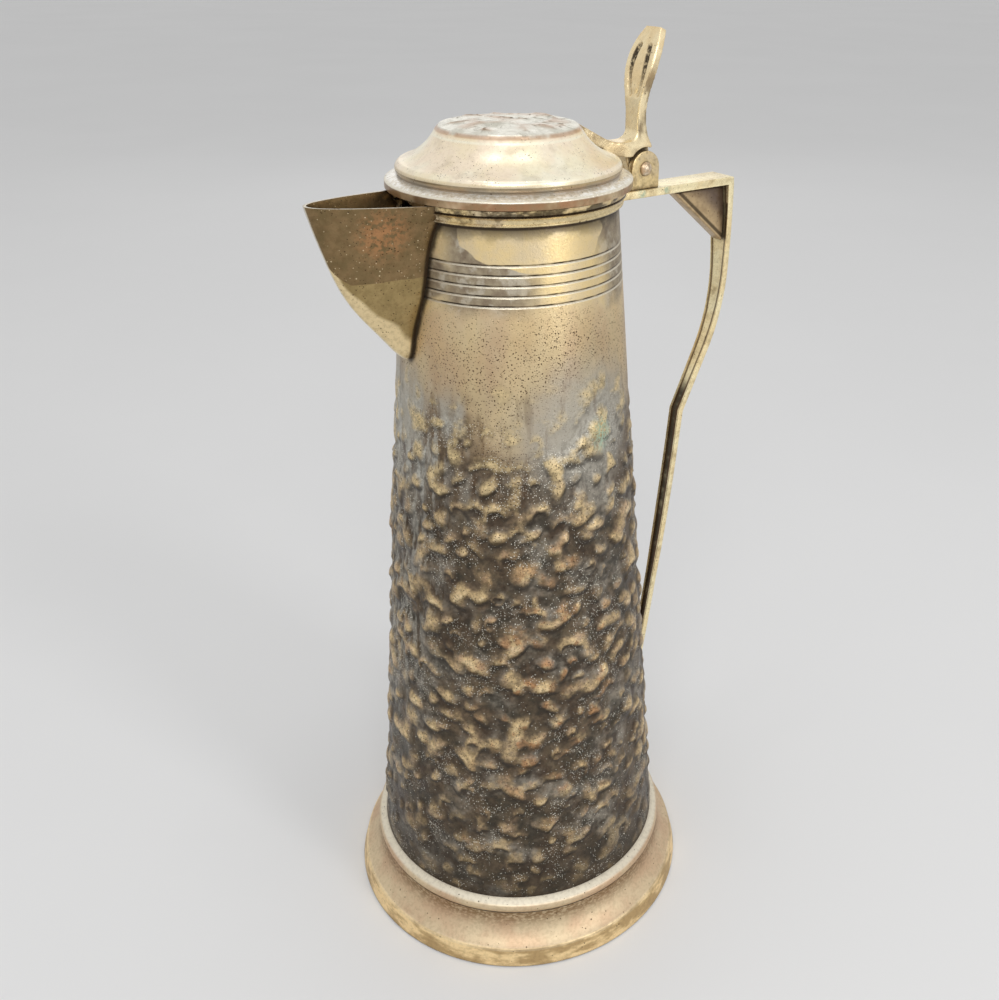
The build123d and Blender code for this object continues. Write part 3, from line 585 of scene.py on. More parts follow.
def relief_finish(colours, sizes):
    """Hammered body: rubbed knobs over brown hollows, painted shade under each knob, and a pitted neck whose
    film and gold patch are partly a painted reflection.
    """
    made = Finish("hammered_patina")
    relief, zone, underside = (made.attribute(name) for name in ("relief", "zone", "underside"))
    level = made.z + made.grain(30 * MM).scaled(50 * MM, -25 * MM)
    line_top = BODY_TOP_Z - sizes.line_drop
    line_low = line_top - (sizes.line_count - 0.5) * sizes.line_pitch

    # Neck: gold with clear edges inside a grey brown film, both partly a painted reflection of the
    # surroundings, then warm satin full of pits
    gold = blend(made.cloud(7 * MM, 0.5, 0.2), colours.gold, colours.satin)
    film = blend(made.cloud(3 * MM, 0.5, 0.2), NECK_FILM, NECK_FILM_DARK)
    film = blend(made.cloud(6 * MM, 0.56, 0.06) * 0.5, film, colours.silver)
    # The gold patches are partly a painted reflection of light
    clean_and_bright_reflection = made.spot(NECK_GOLD_REFLECTION, 24 * MM, 0.4 * MM, 0.55, 22 * MM)
    clean_and_bright_reflection = clean_and_bright_reflection | made.spot(NECK_GOLD_REFLECTION_LOW, 16 * MM, 5 * MM, 1.2, 14 * MM)
    clean_and_bright_reflection = clean_and_bright_reflection | made.cloud(40 * MM, 0.55, 0.012, detail=1.0) * made.y.step(-20 * MM, -12 * MM)
    neck = blend(clean_and_bright_reflection, film, gold)
    warm = blend(made.cloud(10 * MM, 0.5, 0.2, 2.0), colours.satin, colours.rose)
    warm = blend(made.cloud(16 * MM, 0.5, 0.16, 2.5) * 0.5, warm, colours.gold)
    neck = blend(level.step(line_low + 6 * MM, line_low - 2 * MM) * 0.95, neck, warm)
    browning = level.step(258 * MM, 208 * MM) * made.cloud(16 * MM, 0.45, 0.16, 1.6)
    neck = blend(browning * 0.75, neck, colours.tarnish)
    cool = made.cloud(20 * MM, 0.56, 0.06, 3.0) | made.spot(BLUE_PATCH, 24 * MM, 9 * MM, 1.1)
    # The cool tone at the body's left edge is a painted reflection
    cool = cool | made.spot(LEFT_EDGE_REFLECTION, 17 * MM, 6 * MM, 3.6)
    cooled = cool * level.step(246 * MM, 226 * MM)
    neck = blend(cooled * 0.85, neck, colours.cool_film_and_reflection)
    thick = level.step(272 * MM, 248 * MM) * made.cloud(20 * MM, 0.38, 0.10)
    neck = blend(thick * 0.16, neck, colours.stain)
    pits = made.dots(0.95 * MM, 0.9, 0.36) | made.dots(0.65 * MM, 0.85, 0.36)
    streaks = made.cloud(4.2 * MM, 0.62, 0.08, 5.0)
    streaks = streaks * level.step(250 * MM, 232 * MM) * level.step(180 * MM, 200 * MM)
    neck = blend(streaks * 0.35, neck, colours.stain)
    neck_pits = pits * thick.scaled(0.88, 0.12) * cooled.step(0.0, 1.0, 1.0, 0.3)
    neck = blend(neck_pits, neck, colours.pit)

    # Engraved lines: painted highlight on the lower side, painted shade on the upper side; and a dark band
    # under the collar
    turns = (line_top - made.z) / sizes.line_pitch
    beside = turns - turns.math("ROUND")
    in_lines = made.z.step(line_low - 0.1 * MM, line_low + 0.1 * MM)
    in_lines = in_lines * made.z.step(line_top + 1.2 * MM, line_top + 1.0 * MM)
    # Painted highlight on each line's lower side, painted shade on its upper side
    bright = in_lines * beside.step(0.0, 0.03) * beside.step(0.17, 0.12)
    black = in_lines * beside.step(-0.22, -0.13) * beside.step(0.03, -0.02)
    black = black * made.grain(6 * MM).step(0.38, 0.56, 0.35, 1.0)
    neck = blend(bright * 0.9, neck, colours.highlight_and_worn)
    neck = blend(black, neck, colours.hollow)
    # A darker band just below the collar, and a dark line at its lower edge
    dark_band = COLLAR_LOW_Z - (made.z + made.grain(9 * MM, 0.6).scaled(14 * MM, -3 * MM))
    dark_band = dark_band.step(1.6 * MM, -1.6 * MM) * made.z.step(COLLAR_LOW_Z - 7 * MM, COLLAR_LOW_Z)
    neck = blend(dark_band * 0.8, neck, colours.hollow)
    under_collar = made.z.step(COLLAR_LOW_Z - 1.3 * MM, COLLAR_LOW_Z - 0.7 * MM)
    neck = blend(under_collar * 0.9, neck, colours.hollow)

    # Upper relief: a cool film and a brown one run down between the knobs, with pale streaks of painted
    # reflection at the left edge
    films = blend(cool * 0.9, colours.violet_film, colours.cool_film_and_reflection)
    films = blend(streaks * 0.8, films, colours.stain)
    # Pale streaks of painted reflection at the body's left edge
    pale = made.spot(LEFT_EDGE_REFLECTION, 24 * MM, 8 * MM, 5.0) * made.cloud(2.6 * MM, 0.52, 0.06, 6.0)
    films = blend(pale * 0.7, films, PALE_REFLECTION_STREAK)
    lifted = relief + made.grain(2.5 * MM, detail=5.0).scaled(1.0, -0.50)
    rubbed = lifted.step(0.24, 0.98) * level.step(30 * MM, 85 * MM, 0.62, 1.0)
    upper = blend(rubbed, films, RUBBED_UPPER)

    # Lower relief: brown grey flanks, darker hollows and gold or coppery tops
    flank = blend(made.cloud(4 * MM, 0.5, 0.2), colours.flank, colours.violet_film)
    flank = blend(made.cloud(14 * MM, 0.56, 0.10) * 0.42, flank, colours.cool_film_and_reflection)
    hollow = relief.step(0.50, 0.05) * made.grain(9 * MM).step(0.38, 0.56)
    hollow = hollow * made.grain(3.2 * MM).step(0.36, 0.58, 0.5, 1.0)
    deep = blend(made.cloud(12 * MM, 0.5, 0.08), HOLLOW_BROWN, HOLLOW_GREY)
    dark = blend(hollow * 0.88, flank, deep)
    # The pale painted reflection at the left edge covers the hollows too
    dark = blend(pale * 0.55, dark, colours.cool_film_and_reflection)
    coppery = made.cloud(7 * MM, 0.54, 0.05) * made.spot(COPPER_AREA, 30 * MM, 16 * MM, 2.0)
    coppery = coppery | made.cloud(10 * MM, 0.66, 0.05)
    tops = blend(made.cloud(6 * MM, 0.56, 0.10), colours.bump, colours.rose)
    tops = blend(lifted.step(0.72, 1.10) * 0.6, tops, TOP_CORE)
    tops = blend(coppery * 0.8, tops, colours.copper)
    worked = blend(level.step(222 * MM, 180 * MM), upper, blend(rubbed, dark, tops))
    # Painted shade on the lower side of each knob
    worked = blend(underside * 0.85, worked, colours.hollow)
    worked = blend(level.step(70 * MM, 26 * MM, 0.0, 0.50), worked, colours.hollow)
    grime = pits * rubbed.step(0.1, 0.6)
    worked = blend(grime * 0.85, worked, colours.pit)
    worked = blend(made.cloud(1.2 * MM, 0.52, 0.10) * 0.38, worked, colours.hollow)
    dusty = made.cloud(11 * MM, 0.54, 0.05).scaled(0.85, 0.10)
    specks = made.dots(0.62 * MM, dusty, 0.40) * rubbed.step(0.9, 0.4)
    worked = blend(specks * 0.95, worked, colours.dust)
    green = made.spot(GREEN_BODY, 4 * MM, 3 * MM, 1.3) * made.cloud(1.2 * MM, 0.50, 0.08)
    worked = blend(green * 0.8, worked, colours.verdigris)

    # Both together, with painted shade in the corners and a dark line along the spout's seam
    surface = blend(relief.scaled(0.55, zone).step(0.10, 0.88), neck, worked)
    # Painted shade in the corners, from ambient occlusion; it also lowers the shine
    dirt_and_shade = made.crevice(3 * MM)
    surface = blend(dirt_and_shade * 0.8, surface, colours.pit)
    seam = made.attribute("seam") + made.grain(4 * MM).scaled(2.4 * MM, -1.2 * MM)
    surface = blend(seam.step(2.6 * MM, 0.6 * MM) * 0.85, surface, colours.hollow)

    fine = made.grain(0.7 * MM)
    marks = neck_pits | (grime * zone)
    roughness = marks.scaled(0.25, fine.scaled(0.25, zone.step(0.0, 1.0, 0.24, 0.30)))
    metallic = (rubbed | (1.0 - zone)).scaled(0.35, 0.5) * dirt_and_shade.step(0.0, 1.0, 1.0, 0.5)
    return made.close(surface, roughness, metallic, marks.scaled(-1.0, fine * 0.8), 0.14 * MM)


def aged_finish(name, light, second, dark, colours, patch=12 * MM, pits=0.12, roughness=0.30,
                metallic=0.85, corner_shade_reach=3 * MM):
    """Brass of two tones in soft patches, with pits, fine grain and painted shade in its corners."""
    made = Finish(name)
    base = blend(made.cloud(patch, 0.5, 0.16), light, second)
    base = blend(made.cloud(patch * 0.35, 0.58, 0.08) * 0.4, base, dark)
    return made.weathered(base, colours, pits, 1.2 * MM, roughness, metallic, corner_shade_reach)


def foot_finish(colours):
    """Foot: cream hollow, golden band with brown patches and a faint painted highlight along its top, satin
    bead with a painted white highlight on its top, over a dark groove.
    """
    made = Finish("foot_cream")
    cream = blend(made.cloud(16 * MM, 0.5, 0.16), FOOT_CREAM, FOOT_ROSE)
    brown_gold = blend(made.cloud(12 * MM, 0.52, 0.10, 0.3) * 0.75, FOOT_GOLD, FOOT_BROWN)
    base = blend(made.z.step(FOOT_BAND_Z + 0.3 * MM, FOOT_BAND_Z - 0.3 * MM), cream, brown_gold)
    # Faint painted highlight along the band's top edge
    base = blend(made.z.ring(FOOT_BAND_Z, -1.3, -0.9, 0, 0.4) * 0.15, base, colours.highlight_and_worn)
    strip = made.z.ring(FOOT_TOP_Z, -8.5, -1.5, 0, 0.4)
    strip = strip * made.grain(1.6 * MM, 0.5).step(0.36, 0.56, 0.35, 1.0)
    base = blend(strip * 0.8, base, FOOT_STRIP)
    base = blend(made.z.ring(FOOT_TOP_Z, -0.5, -0.1, 0.2, 0.7) * 0.9, base, colours.hollow)
    # Painted white highlight on the bead's top
    white = made.z.step(BEAD_TOP_Z - 2.2 * MM, BEAD_TOP_Z - 1.2 * MM)
    base = blend(white * 0.9, base, colours.highlight_and_worn)
    return made.weathered(base, colours, 0.10, 1.2 * MM, 0.46, 0.7, 2 * MM, mottling=0.14)


def collar_finish(colours):
    """Collar: two gold bands with darker patches mostly on the upper one, pits on one side and black lines
    between them.
    """
    made = Finish("collar_gold")
    base = blend(made.cloud(8 * MM, 0.5, 0.1), colours.gold, colours.satin)
    pitted = made.cloud(2.2 * MM, 0.52, 0.06) * made.x.step(0.0, -8 * MM, 0.15, 0.6)
    base = blend(pitted, base, colours.olive)
    across = made.y.scaled(FRONT_RIGHT[1], made.x * FRONT_RIGHT[0])
    smooth = (across - (made.z - COLLAR_LOW_Z)).step(-1.2 * MM, -0.9 * MM)
    smooth = smooth * made.z.step(COLLAR_SPLIT_Z - 0.1 * MM, COLLAR_SPLIT_Z - 0.5 * MM)
    base = blend(smooth * 0.9, base, COLLAR_SMOOTH)
    # Darker patches, mostly on the upper band
    dark_band = made.cloud(10 * MM, 0.50, 0.05, 0.4)
    dark_band = dark_band * made.z.step(COLLAR_SPLIT_Z, COLLAR_SPLIT_Z + 0.4 * MM, 0.12, 0.8)
    base = blend(dark_band, base, colours.hollow)
    base = blend(made.z.near(COLLAR_SPLIT_Z, 0.55 * MM, 0.2 * MM) * 0.9, base, colours.hollow)
    foot = made.z.step(COLLAR_LOW_Z + 0.5 * MM, COLLAR_LOW_Z + 0.1 * MM)
    base = blend(foot * 0.9, base, colours.hollow)
    return made.weathered(base, colours, 0.35, 1.2 * MM, 0.28, 0.8, 1.2 * MM)


def spout_finish(colours):
    """Spout: brown green film above and cleaner pitted brass below, both partly a painted reflection, with
    painted highlights along the keel and on the rim.
    """
    made = Finish("spout_patina")
    wander = made.grain(20 * MM, detail=1.0).scaled(6 * MM, -3 * MM)
    level = made.z + wander
    aside = abs(made.y)
    # The film's border and the lighter brass below it are partly a painted reflection
    above = level.step(SPOUT_TOP_Z - 25.5 * MM, SPOUT_TOP_Z - 25.2 * MM)
    keel_band = (SPOUT_TOP_Z - 18.7 * MM - level) * 0.45
    film = above * (aside - keel_band).step(0.0, 0.25 * MM)
    clean_and_bright_reflection = blend(made.cloud(8 * MM, 0.5, 0.15), SPOUT_CLEAN, SPOUT_CLEAN_DARK)
    filmed_and_dark_reflection = blend(made.cloud(4 * MM, 0.5, 0.2), colours.olive, SPOUT_FILM)
    red = made.spot(SPOUT_RED, 7 * MM, 5 * MM) * made.cloud(1.6 * MM, 0.48, 0.08)
    filmed_and_dark_reflection = blend(red * 0.75, filmed_and_dark_reflection, colours.copper)
    base = blend(film, clean_and_bright_reflection, filmed_and_dark_reflection)
    # Painted highlight along the keel
    keel_highlight = (aside + wander).step(2.6 * MM, 2.0 * MM) * (1.0 - film) * 0.8
    base = blend(keel_highlight, base, SPOUT_KEEL_HIGHLIGHT)
    base = blend(made.dots(1 * MM, 0.30, 0.3) * film * 0.7, base, colours.satin)
    # Painted highlights on the keel's edge and on the rim's top faces
    rim = made.facing()[2].step(0.80, 0.92)
    base = blend((aside.step(0.8 * MM, 0.3 * MM) | rim) * 0.8, base, colours.highlight_and_worn)
    radius = (made.x * made.x + made.y * made.y).math("SQRT")
    off_body = radius - made.z.scaled(-CONE_SLOPE, MOUTH_RADIUS + CONE_SLOPE * BODY_TOP_Z)
    base = blend(off_body.step(1.5 * MM, 0.6 * MM) * 0.85, base, colours.hollow)
    return made.weathered(base, colours, 0.6, 0.9 * MM, 0.30, 0.8, 2 * MM, mottling=0.2)


def dome_finish(colours):
    """Lid: pale warm flank with clusters of fine pits, a grey hammered crown, a brown ledge of painted shade
    below a painted highlight along the belly.
    """
    made = Finish("dome_satin")
    base = blend(made.cloud(22 * MM, 0.5, 0.10) * 0.8, colours.lid_cream, colours.lid_rose)
    base = blend(made.cloud(10 * MM, 0.54, 0.10) * 0.35, base, LID_YELLOW)
    base = blend(made.cloud(6 * MM, 0.58, 0.08) * 0.2, base, colours.tarnish)
    clusters = made.cloud(12 * MM, 0.55, 0.05)
    base = blend(made.dots(0.75 * MM, 0.75, 0.36) * clusters * 0.75, base, colours.pit)

    # The inside is dull
    outside = made.facing()[2].step(-0.05, 0.05)
    dull = blend(made.cloud(12 * MM, 0.5, 0.12), colours.tarnish, LID_INSIDE)
    base = blend(outside, dull, base)

    # The crown: whitish grey, brown on its ridges and at its outer edge
    relief = made.attribute("relief")
    top = blend(made.cloud(5 * MM, 0.5, 0.15), CROWN_PALE, CROWN_GREY)
    top = blend(relief.step(0.58, 0.80) * 0.8, top, CROWN_RIDGE)
    top = blend(relief.step(0.42, 0.20) * 0.7, top, CROWN_DIP)
    crown = outside * made.z.step(CROWN_EDGE_Z - 0.5 * MM, CROWN_EDGE_Z + 0.2 * MM)
    base = blend(crown, base, top)
    rim = made.z.near(CROWN_EDGE_Z, 0.9 * MM, 0.2 * MM) * outside * made.cloud(10 * MM, 0.42, 0.08)
    base = blend(rim * 0.6, base, colours.copper)
    # Painted highlight line just below the crown's edge
    line = made.z.near(CROWN_EDGE_Z - 1.6 * MM, 0.6 * MM, 0.1 * MM)
    base = blend(line * outside * 0.8, base, colours.lid_cream)

    # Painted shade on the belly's lower side beside the rim, and a painted highlight along the belly
    brown = blend(made.cloud(12 * MM, 0.5, 0.1), LEDGE_SHADE_BROWN, LEDGE_SHADE_GREY)
    base = blend(made.z.step(RIM_TOP_Z + 2 * MM, RIM_TOP_Z + 1 * MM) * 0.8, base, brown)
    belly = made.z.near(RIM_TOP_Z + 2.7 * MM, 0.7 * MM, 0.2 * MM)
    base = blend(belly * 0.7, base, colours.satin)
    return made.weathered(base, colours, 0.05, 1 * MM, 0.30, 0.6, 1.2 * MM, dirt_and_shade=0.35, mottling=0.08)


def rim_finish(colours):
    """Lid rim: whitish granular top, partly a painted highlight, a painted highlight line, and a copper
    brown edge, partly painted shade.
    """
    made = Finish("rim_worn")
    pale = blend(made.cloud(1.2 * MM, 0.5, 0.14), RIM_WHITE, RIM_PALE)
    brown = blend(made.cloud(6 * MM, 0.5, 0.1), RIM_BROWN, RIM_COPPER)
    brown = blend(made.cloud(14 * MM, 0.56, 0.08) * 0.6, brown, colours.satin)
    # Pale top and brown lower face: partly the metal's own wear and tarnish, partly painted highlight and
    # shade
    base = blend(made.z.step(RIM_TOP_Z - 1.3 * MM, RIM_TOP_Z - 1.9 * MM), pale, brown)
    # Painted highlight line along the rim's top edge
    line = made.z.near(RIM_TOP_Z - 1.3 * MM, 0.4 * MM, 0.1 * MM)
    base = blend(line, base, colours.highlight_and_worn)
    return made.weathered(base, colours, 0.1, 1 * MM, 0.30, 0.55, 1.2 * MM, dirt_and_shade=0.2, mottling=0.06)


def lever_finish(colours):
    """Thumb lever: pale gold, two dark pitted recesses whose darkness is partly painted shade, brown down
    the waist's sides and painted shade low by the knuckle.
    """
    made = Finish("cast_pale")
    base = blend(made.cloud(10 * MM, 0.5, 0.16), LEVER_PALE, LEVER_GOLD)
    facing = made.facing()
    up = made.z - (PIN_Z + RECESS_RISE)
    off = abs(abs(made.y) - (up * up).scaled(-RECESS_BOW, RECESS_ASIDE))
    spread = up.step(-10 * MM, 4 * MM, 0.45 * MM, 1.25 * MM)
    # The recesses' darkness is partly pits, partly painted shade
    recess = (off - spread).step(0.2 * MM, -0.3 * MM) * facing[0].step(-0.05, -0.3)
    recess = recess * up.step(7.6 * MM, 6.2 * MM) * up.step(-10.5 * MM, 1 * MM)
    recess = recess * made.grain(1.1 * MM).step(0.36, 0.52, 0.4, 1.0)
    base = blend(recess * 0.95, base, colours.hollow)
    side = abs(facing[1]).step(0.55, 0.85) * made.z.step(PIN_Z + 8 * MM, PIN_Z + 14 * MM)
    side = side * made.z.step(PIN_Z + 38 * MM, PIN_Z + 30 * MM) * made.cloud(4 * MM, 0.50, 0.08, 3.0)
    base = blend(side * 0.65, base, colours.stain)
    # Painted shade low on the lever, by the knuckle
    low = made.cloud(5 * MM, 0.54, 0.08) * made.z.step(PIN_Z + 12 * MM, PIN_Z + 4 * MM)
    base = blend(low * 0.45, base, colours.stain)
    return made.weathered(base, colours, 0.2, 1.1 * MM, 0.28, 0.75, 2 * MM, mottling=0.10)


def web_finish(colours):
    """Web under the arm: gold beside its long edge, violet brown in the corner, painted shade round it."""
    made = Finish("web_brown")
    low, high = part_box("handle_gusset")
    along = (made.x - low.x) / (high.x - low.x)
    from_edge = along + (made.z - low.z) / (high.z - low.z) - 1.0
    inward = from_edge + made.grain(6 * MM).scaled(0.3, -0.15)
    base = blend(inward.step(0.10, 0.62), WEB_GOLD, WEB_VIOLET)
    base = blend(made.cloud(4 * MM, 0.56, 0.08) * 0.25, base, colours.stain)
    bevel = from_edge.step(0.03, 0.06) * from_edge.step(0.14, 0.10)
    base = blend(bevel * 0.8, base, colours.hollow)
    return made.weathered(base, colours, 0.15, 1 * MM, 0.32, 0.75, 4.5 * MM)


def handle_finish(colours):
    """Handle: satin gold, painted shade in the channel of the inner faces below the kink and on faces that
    look down, green spots on the arm.
    """
    made = Finish("cast_gold")
    base = blend(made.cloud(12 * MM, 0.5, 0.12), HANDLE_PALE, HANDLE_GOLD)
    base = blend(made.cloud(6 * MM, 0.60, 0.08) * 0.35, base, colours.olive)
    facing = made.facing()
    inner = facing[0].step(-0.35, -0.7)
    aside = abs(made.y)
    in_from_edge = made.attribute("half_width") - aside
    # Painted shade in the channel of the inner faces, below the kink
    channel = inner * in_from_edge.step(0.8 * MM, 1.2 * MM) * made.z.step(KINK_Z + 3 * MM, KINK_Z - 6 * MM)
    base = blend(channel * made.grain(6 * MM).step(0.3, 0.5, 0.7, 0.95), base, colours.hollow)
    gap = in_from_edge.near(1.5 * MM, 0.7 * MM, 0.2 * MM)
    base = blend(gap * inner * 0.8, base, colours.stain)
    # Painted shade on the faces that look down
    inside = aside.step(HANDLE_HALF_WIDTH - 0.6 * MM, HANDLE_HALF_WIDTH - 1.2 * MM)
    base = blend(inside * facing[2].step(-0.2, -0.6) * 0.7, base, colours.stain)
    green = made.spot(GREEN_NEAR, 1.5 * MM, 1 * MM) | made.spot(GREEN_FAR, 1.4 * MM, 1 * MM)
    green = green * made.cloud(1.2 * MM, 0.45, 0.12)
    base = blend(green * 0.7, base, colours.verdigris)
    return made.weathered(base, colours, 0.22, 1.1 * MM, 0.28, 0.8, 4 * MM)


# Geometry of the hammered surfaces

# Broad lumps of the body: they wind up it, each a fixed turn and rise from the last
LUMP_COUNT = 122
LUMP_LOW_Z = 37.0 * MM
LUMP_RISE = 1.36 * MM
LUMP_TURN = math.radians(137.508)
LUMP_STRAY = 3.0 * MM
LUMP_REACH = 9.0 * MM

# Small knobs: their strays, and how uneven they are
KNOB_SEED = 23
KNOB_STRAY_UP = 1.9 * MM
KNOB_STRAY_TURN = 0.035
KNOB_SIZES = (0.62, 1.30)
KNOB_DRAWN_OUT = (1.0, 1.7)
KNOB_HEIGHTS = (0.55, 1.0)
KNOB_LIE = 0.9
KNOB_STEEP_LOW, KNOB_STEEP_HIGH = 0.72, 1.25
DIMPLED_SHARE, DIMPLE_DEPTH = 0.3, 1.1

# Noise that bends the knobs, roughens them and makes their upper border ragged
BEND_SIZE, BEND = 7 * MM, 1.5 * MM
ROUGH_SIZE, ROUGH_SHARE = 4.5 * MM, 0.13
BORDER_SIZE, BORDER_STRAY = 20 * MM, 16 * MM

# Behind the strap's lower end the knobs are low
STRAP_SHADOW = 11 * MM
STRAP_CLOSE_Z = 78 * MM
STRAP_LOW_RELIEF = 0.3

# The body's mesh
RELIEF_ROWS_TOP_Z = 226 * MM
RELIEF_ROWS = 196
BODY_SEGMENTS = 368
INSIDE_STEPS = 6
UNDERSIDE_STEP = 0.8 * MM
UNDERSIDE_FALL = 0.55 * MM

# The lid's crown, from the plain dome, and the flat rim round its dents
CROWN_RADIUS = 22.9 * MM
CROWN_FALL = 1.15 * MM
CROWN_FLAT_RADIUS = 0.80 * CROWN_RADIUS
CROWN_BEND_SIZE, CROWN_BEND = 9 * MM, 4 * MM
FOLD_SIZE, FOLD_SHARE, FOLD_SHARPNESS = 11 * MM, 0.55, 2.2
DENT_SIZE, DENT_SHARE = 7 * MM, 0.45

# The strap's channel ends below the web, and its borders follow the strap's own width
CHANNEL_TOP_Z = 278 * MM
STRAP_TOP_Z = 284 * MM
WIDTH_STEPS = 60
WIDTH_WINDOW = 12 * MM
LEAST_HALF_WIDTH = 2.4 * MM


def smooth_step(value, low, high):
    """0 below low, 1 above high and smooth between them."""
    share = np.clip((value - low) / (high - low), 0, 1)
    return share * share * (3 - 2 * share)


def noise_at(points, size, shift, octaves=1):
    """Noise of a given feature size at many points, from about -1 to 1."""
    offset = Vector(shift)
    if octaves == 1:
        return np.array([noise.noise(Vector(p) / size + offset) for p in points])
    return np.array([noise.fractal(Vector(p) / size + offset, 0.9, 2.1, octaves) for p in points])


def raised(points, angle, z, reach, rise):
    """Add up rises near places on the cone, each joined smoothly to the ones before it.

    rise gives a height from 0 to 1 for sideways and upward distances from place number i.
    """
    order = np.argsort(points[:, 2])
    heights = points[order, 2]
    turn = np.arctan2(points[order, 1], points[order, 0])
    radius = cone_radius(heights)
    left = np.ones(len(points))
    for number in range(len(angle)):
        low, high = np.searchsorted(heights, (z[number] - reach, z[number] + reach))
        sideways = (turn[low:high] - angle[number] + math.pi) % math.tau - math.pi
        sideways = sideways * radius[low:high]
        near = np.abs(sideways) < reach
        share = rise(number, sideways[near], heights[low:high][near] - z[number])
        left[low:high][near] *= 1 - share
    total = np.empty(len(points))
    total[order] = 1 - left
    return total


def swells(points):
    """The broad lumps, from 0 to 1, where the fixed body has them too."""
    number = np.arange(LUMP_COUNT)
    z = LUMP_LOW_Z + LUMP_RISE * number + LUMP_STRAY * np.sin(number**2)

    def rise(i, sideways, upward):
        return np.clip(1 - (sideways**2 + upward**2) / LUMP_REACH**2, 0, 1) ** 1.5

    return raised(points, LUMP_TURN * number, z, LUMP_REACH, rise)


def knobs(points, sizes):
    """The small knobs, from 0 to 1: rounded, uneven, and steeper on their lower side."""
    draw = np.random.default_rng(KNOB_SEED)
    low, high = BEAD_TOP_Z, sizes.relief_start
    rows = (high - low) / sizes.knob_spacing
    count = int(rows * math.tau * cone_radius((low + high) / 2) / sizes.knob_spacing)
    number = np.arange(count)
    z = low + (high - low) * (number + 0.5) / count + draw.normal(0, KNOB_STRAY_UP, count)
    angle = LUMP_TURN * number + draw.normal(0, KNOB_STRAY_TURN, count)
    half = 0.5 * sizes.knob_width * draw.uniform(*KNOB_SIZES, count)
    drawn_out = draw.uniform(*KNOB_DRAWN_OUT, count)
    lie = draw.normal(0.0, KNOB_LIE, count)
    full = draw.uniform(*KNOB_HEIGHTS, count)
    dip = DIMPLE_DEPTH * (draw.uniform(0, 1, count) < DIMPLED_SHARE)

    def rise(i, sideways, upward):
        along = sideways * math.cos(lie[i]) + upward * math.sin(lie[i])
        across = upward * math.cos(lie[i]) - sideways * math.sin(lie[i])
        steep = np.where(across < 0, KNOB_STEEP_LOW, KNOB_STEEP_HIGH)
        far = (along / (half[i] * drawn_out[i])) ** 2 + (across / (half[i] * steep)) ** 2
        lower = (sideways / drawn_out[i]) ** 2 + (upward + 0.3 * half[i]) ** 2
        hole = np.clip(1 - lower / (0.5 * half[i]) ** 2, 0, 1)
        return full[i] * np.clip(np.clip(1 - far, 0, 1) ** 1.15 - dip[i] * hole, 0, 1)

    return raised(points, angle, z, 1.3 * sizes.knob_width, rise)


def body_relief(points, sizes):
    """Height of the relief in metres, the knobs' share of it and how far it has set in."""
    bend = [noise_at(points, BEND_SIZE, (shift, 4.1, 2.3)) for shift in (3.1, 17.7, 31.9)]
    share = knobs(points + BEND * np.stack(bend, 1), sizes)
    rough = ROUGH_SHARE * noise_at(points, ROUGH_SIZE, (1.3, 8.9, 2.5), 2)
    share = np.clip(share + rough, 0, 1)
    border = BORDER_STRAY * noise_at(points, BORDER_SIZE, (5.2, 9.4, 1.1))
    zone = smooth_step(points[:, 2] + border, sizes.relief_start, sizes.relief_full)
    height = share * sizes.knob_height + swells(points) * sizes.swell_height - sizes.hollow_depth
    height *= smooth_step(points[:, 2], BEAD_TOP_Z + 1 * MM, BEAD_TOP_Z + 9 * MM)
    behind_strap = (points[:, 0] > 0) & (np.abs(points[:, 1]) < STRAP_SHADOW)
    height[behind_strap & (points[:, 2] < STRAP_CLOSE_Z)] *= STRAP_LOW_RELIEF
    return height, share, zone


def line_middles(sizes):
    """Heights of the engraved lines, from the top one down."""
    return [BODY_TOP_Z - sizes.line_drop - number * sizes.line_pitch for number in range(sizes.line_count)]


def row_heights(sizes):
    """Heights of the body's rings: even in the relief, close at the engraved lines."""
    rows = list(np.linspace(BODY_LOW_Z, BEAD_TOP_Z - 1 * MM, 4))
    rows += list(np.linspace(BEAD_TOP_Z, RELIEF_ROWS_TOP_Z, RELIEF_ROWS, endpoint=False))
    rows += list(np.linspace(RELIEF_ROWS_TOP_Z, BODY_TOP_Z - 40 * MM, 10))
    half = sizes.line_width / 2
    for middle in line_middles(sizes):
        rows += [middle + half * share for share in (-1.35, -1.0, -0.5, -0.12, 0.12, 0.5, 1.0, 1.35)]
    rows += list(np.linspace(BODY_TOP_Z - sizes.line_drop + 2 * MM, BODY_TOP_Z, 6))
    return np.array(sorted(rows))


def line_sink(heights, sizes):
    """Depth of the engraved lines at heights."""
    sink = np.zeros(len(heights))
    for middle in line_middles(sizes):
        share = np.clip(1 - np.abs(heights - middle) / (sizes.line_width / 2), 0, 1)
        sink = np.maximum(sink, sizes.line_depth * share)
    return sink


def store(piece, name, values):
    """Keep a value for each point of a mesh, for its material to read."""
    attribute = piece.data.attributes.get(name) or piece.data.attributes.new(name, "FLOAT", "POINT")
    attribute.data.foreach_set("value", np.asarray(values, np.float32))


def coordinates(piece):
    """A mesh's points as rows of x, y and z."""
    points = np.zeros(len(piece.data.vertices) * 3)
    piece.data.vertices.foreach_get("co", points)
    return points.reshape(-1, 3)


def write_coordinates(piece, points):
    """Move a mesh's points to these places."""
    piece.data.vertices.foreach_set("co", points.astype(np.float32).ravel())
    piece.data.update()


def distance_to(node, points):
    """Distance from each point of the neck to a fixed node, and a large one elsewhere."""
    mesh = frame["nodes"][node].data
    tree = BVHTree.FromPolygons([v.co for v in mesh.vertices], [f.vertices for f in mesh.polygons])
    far = np.full(len(points), 1.0)
    for i in np.flatnonzero((points[:, 0] < 0) & (points[:, 2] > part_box(node)[0].z - 8 * MM)):
        far[i] = tree.find_nearest(Vector(points[i]))[3]
    return far


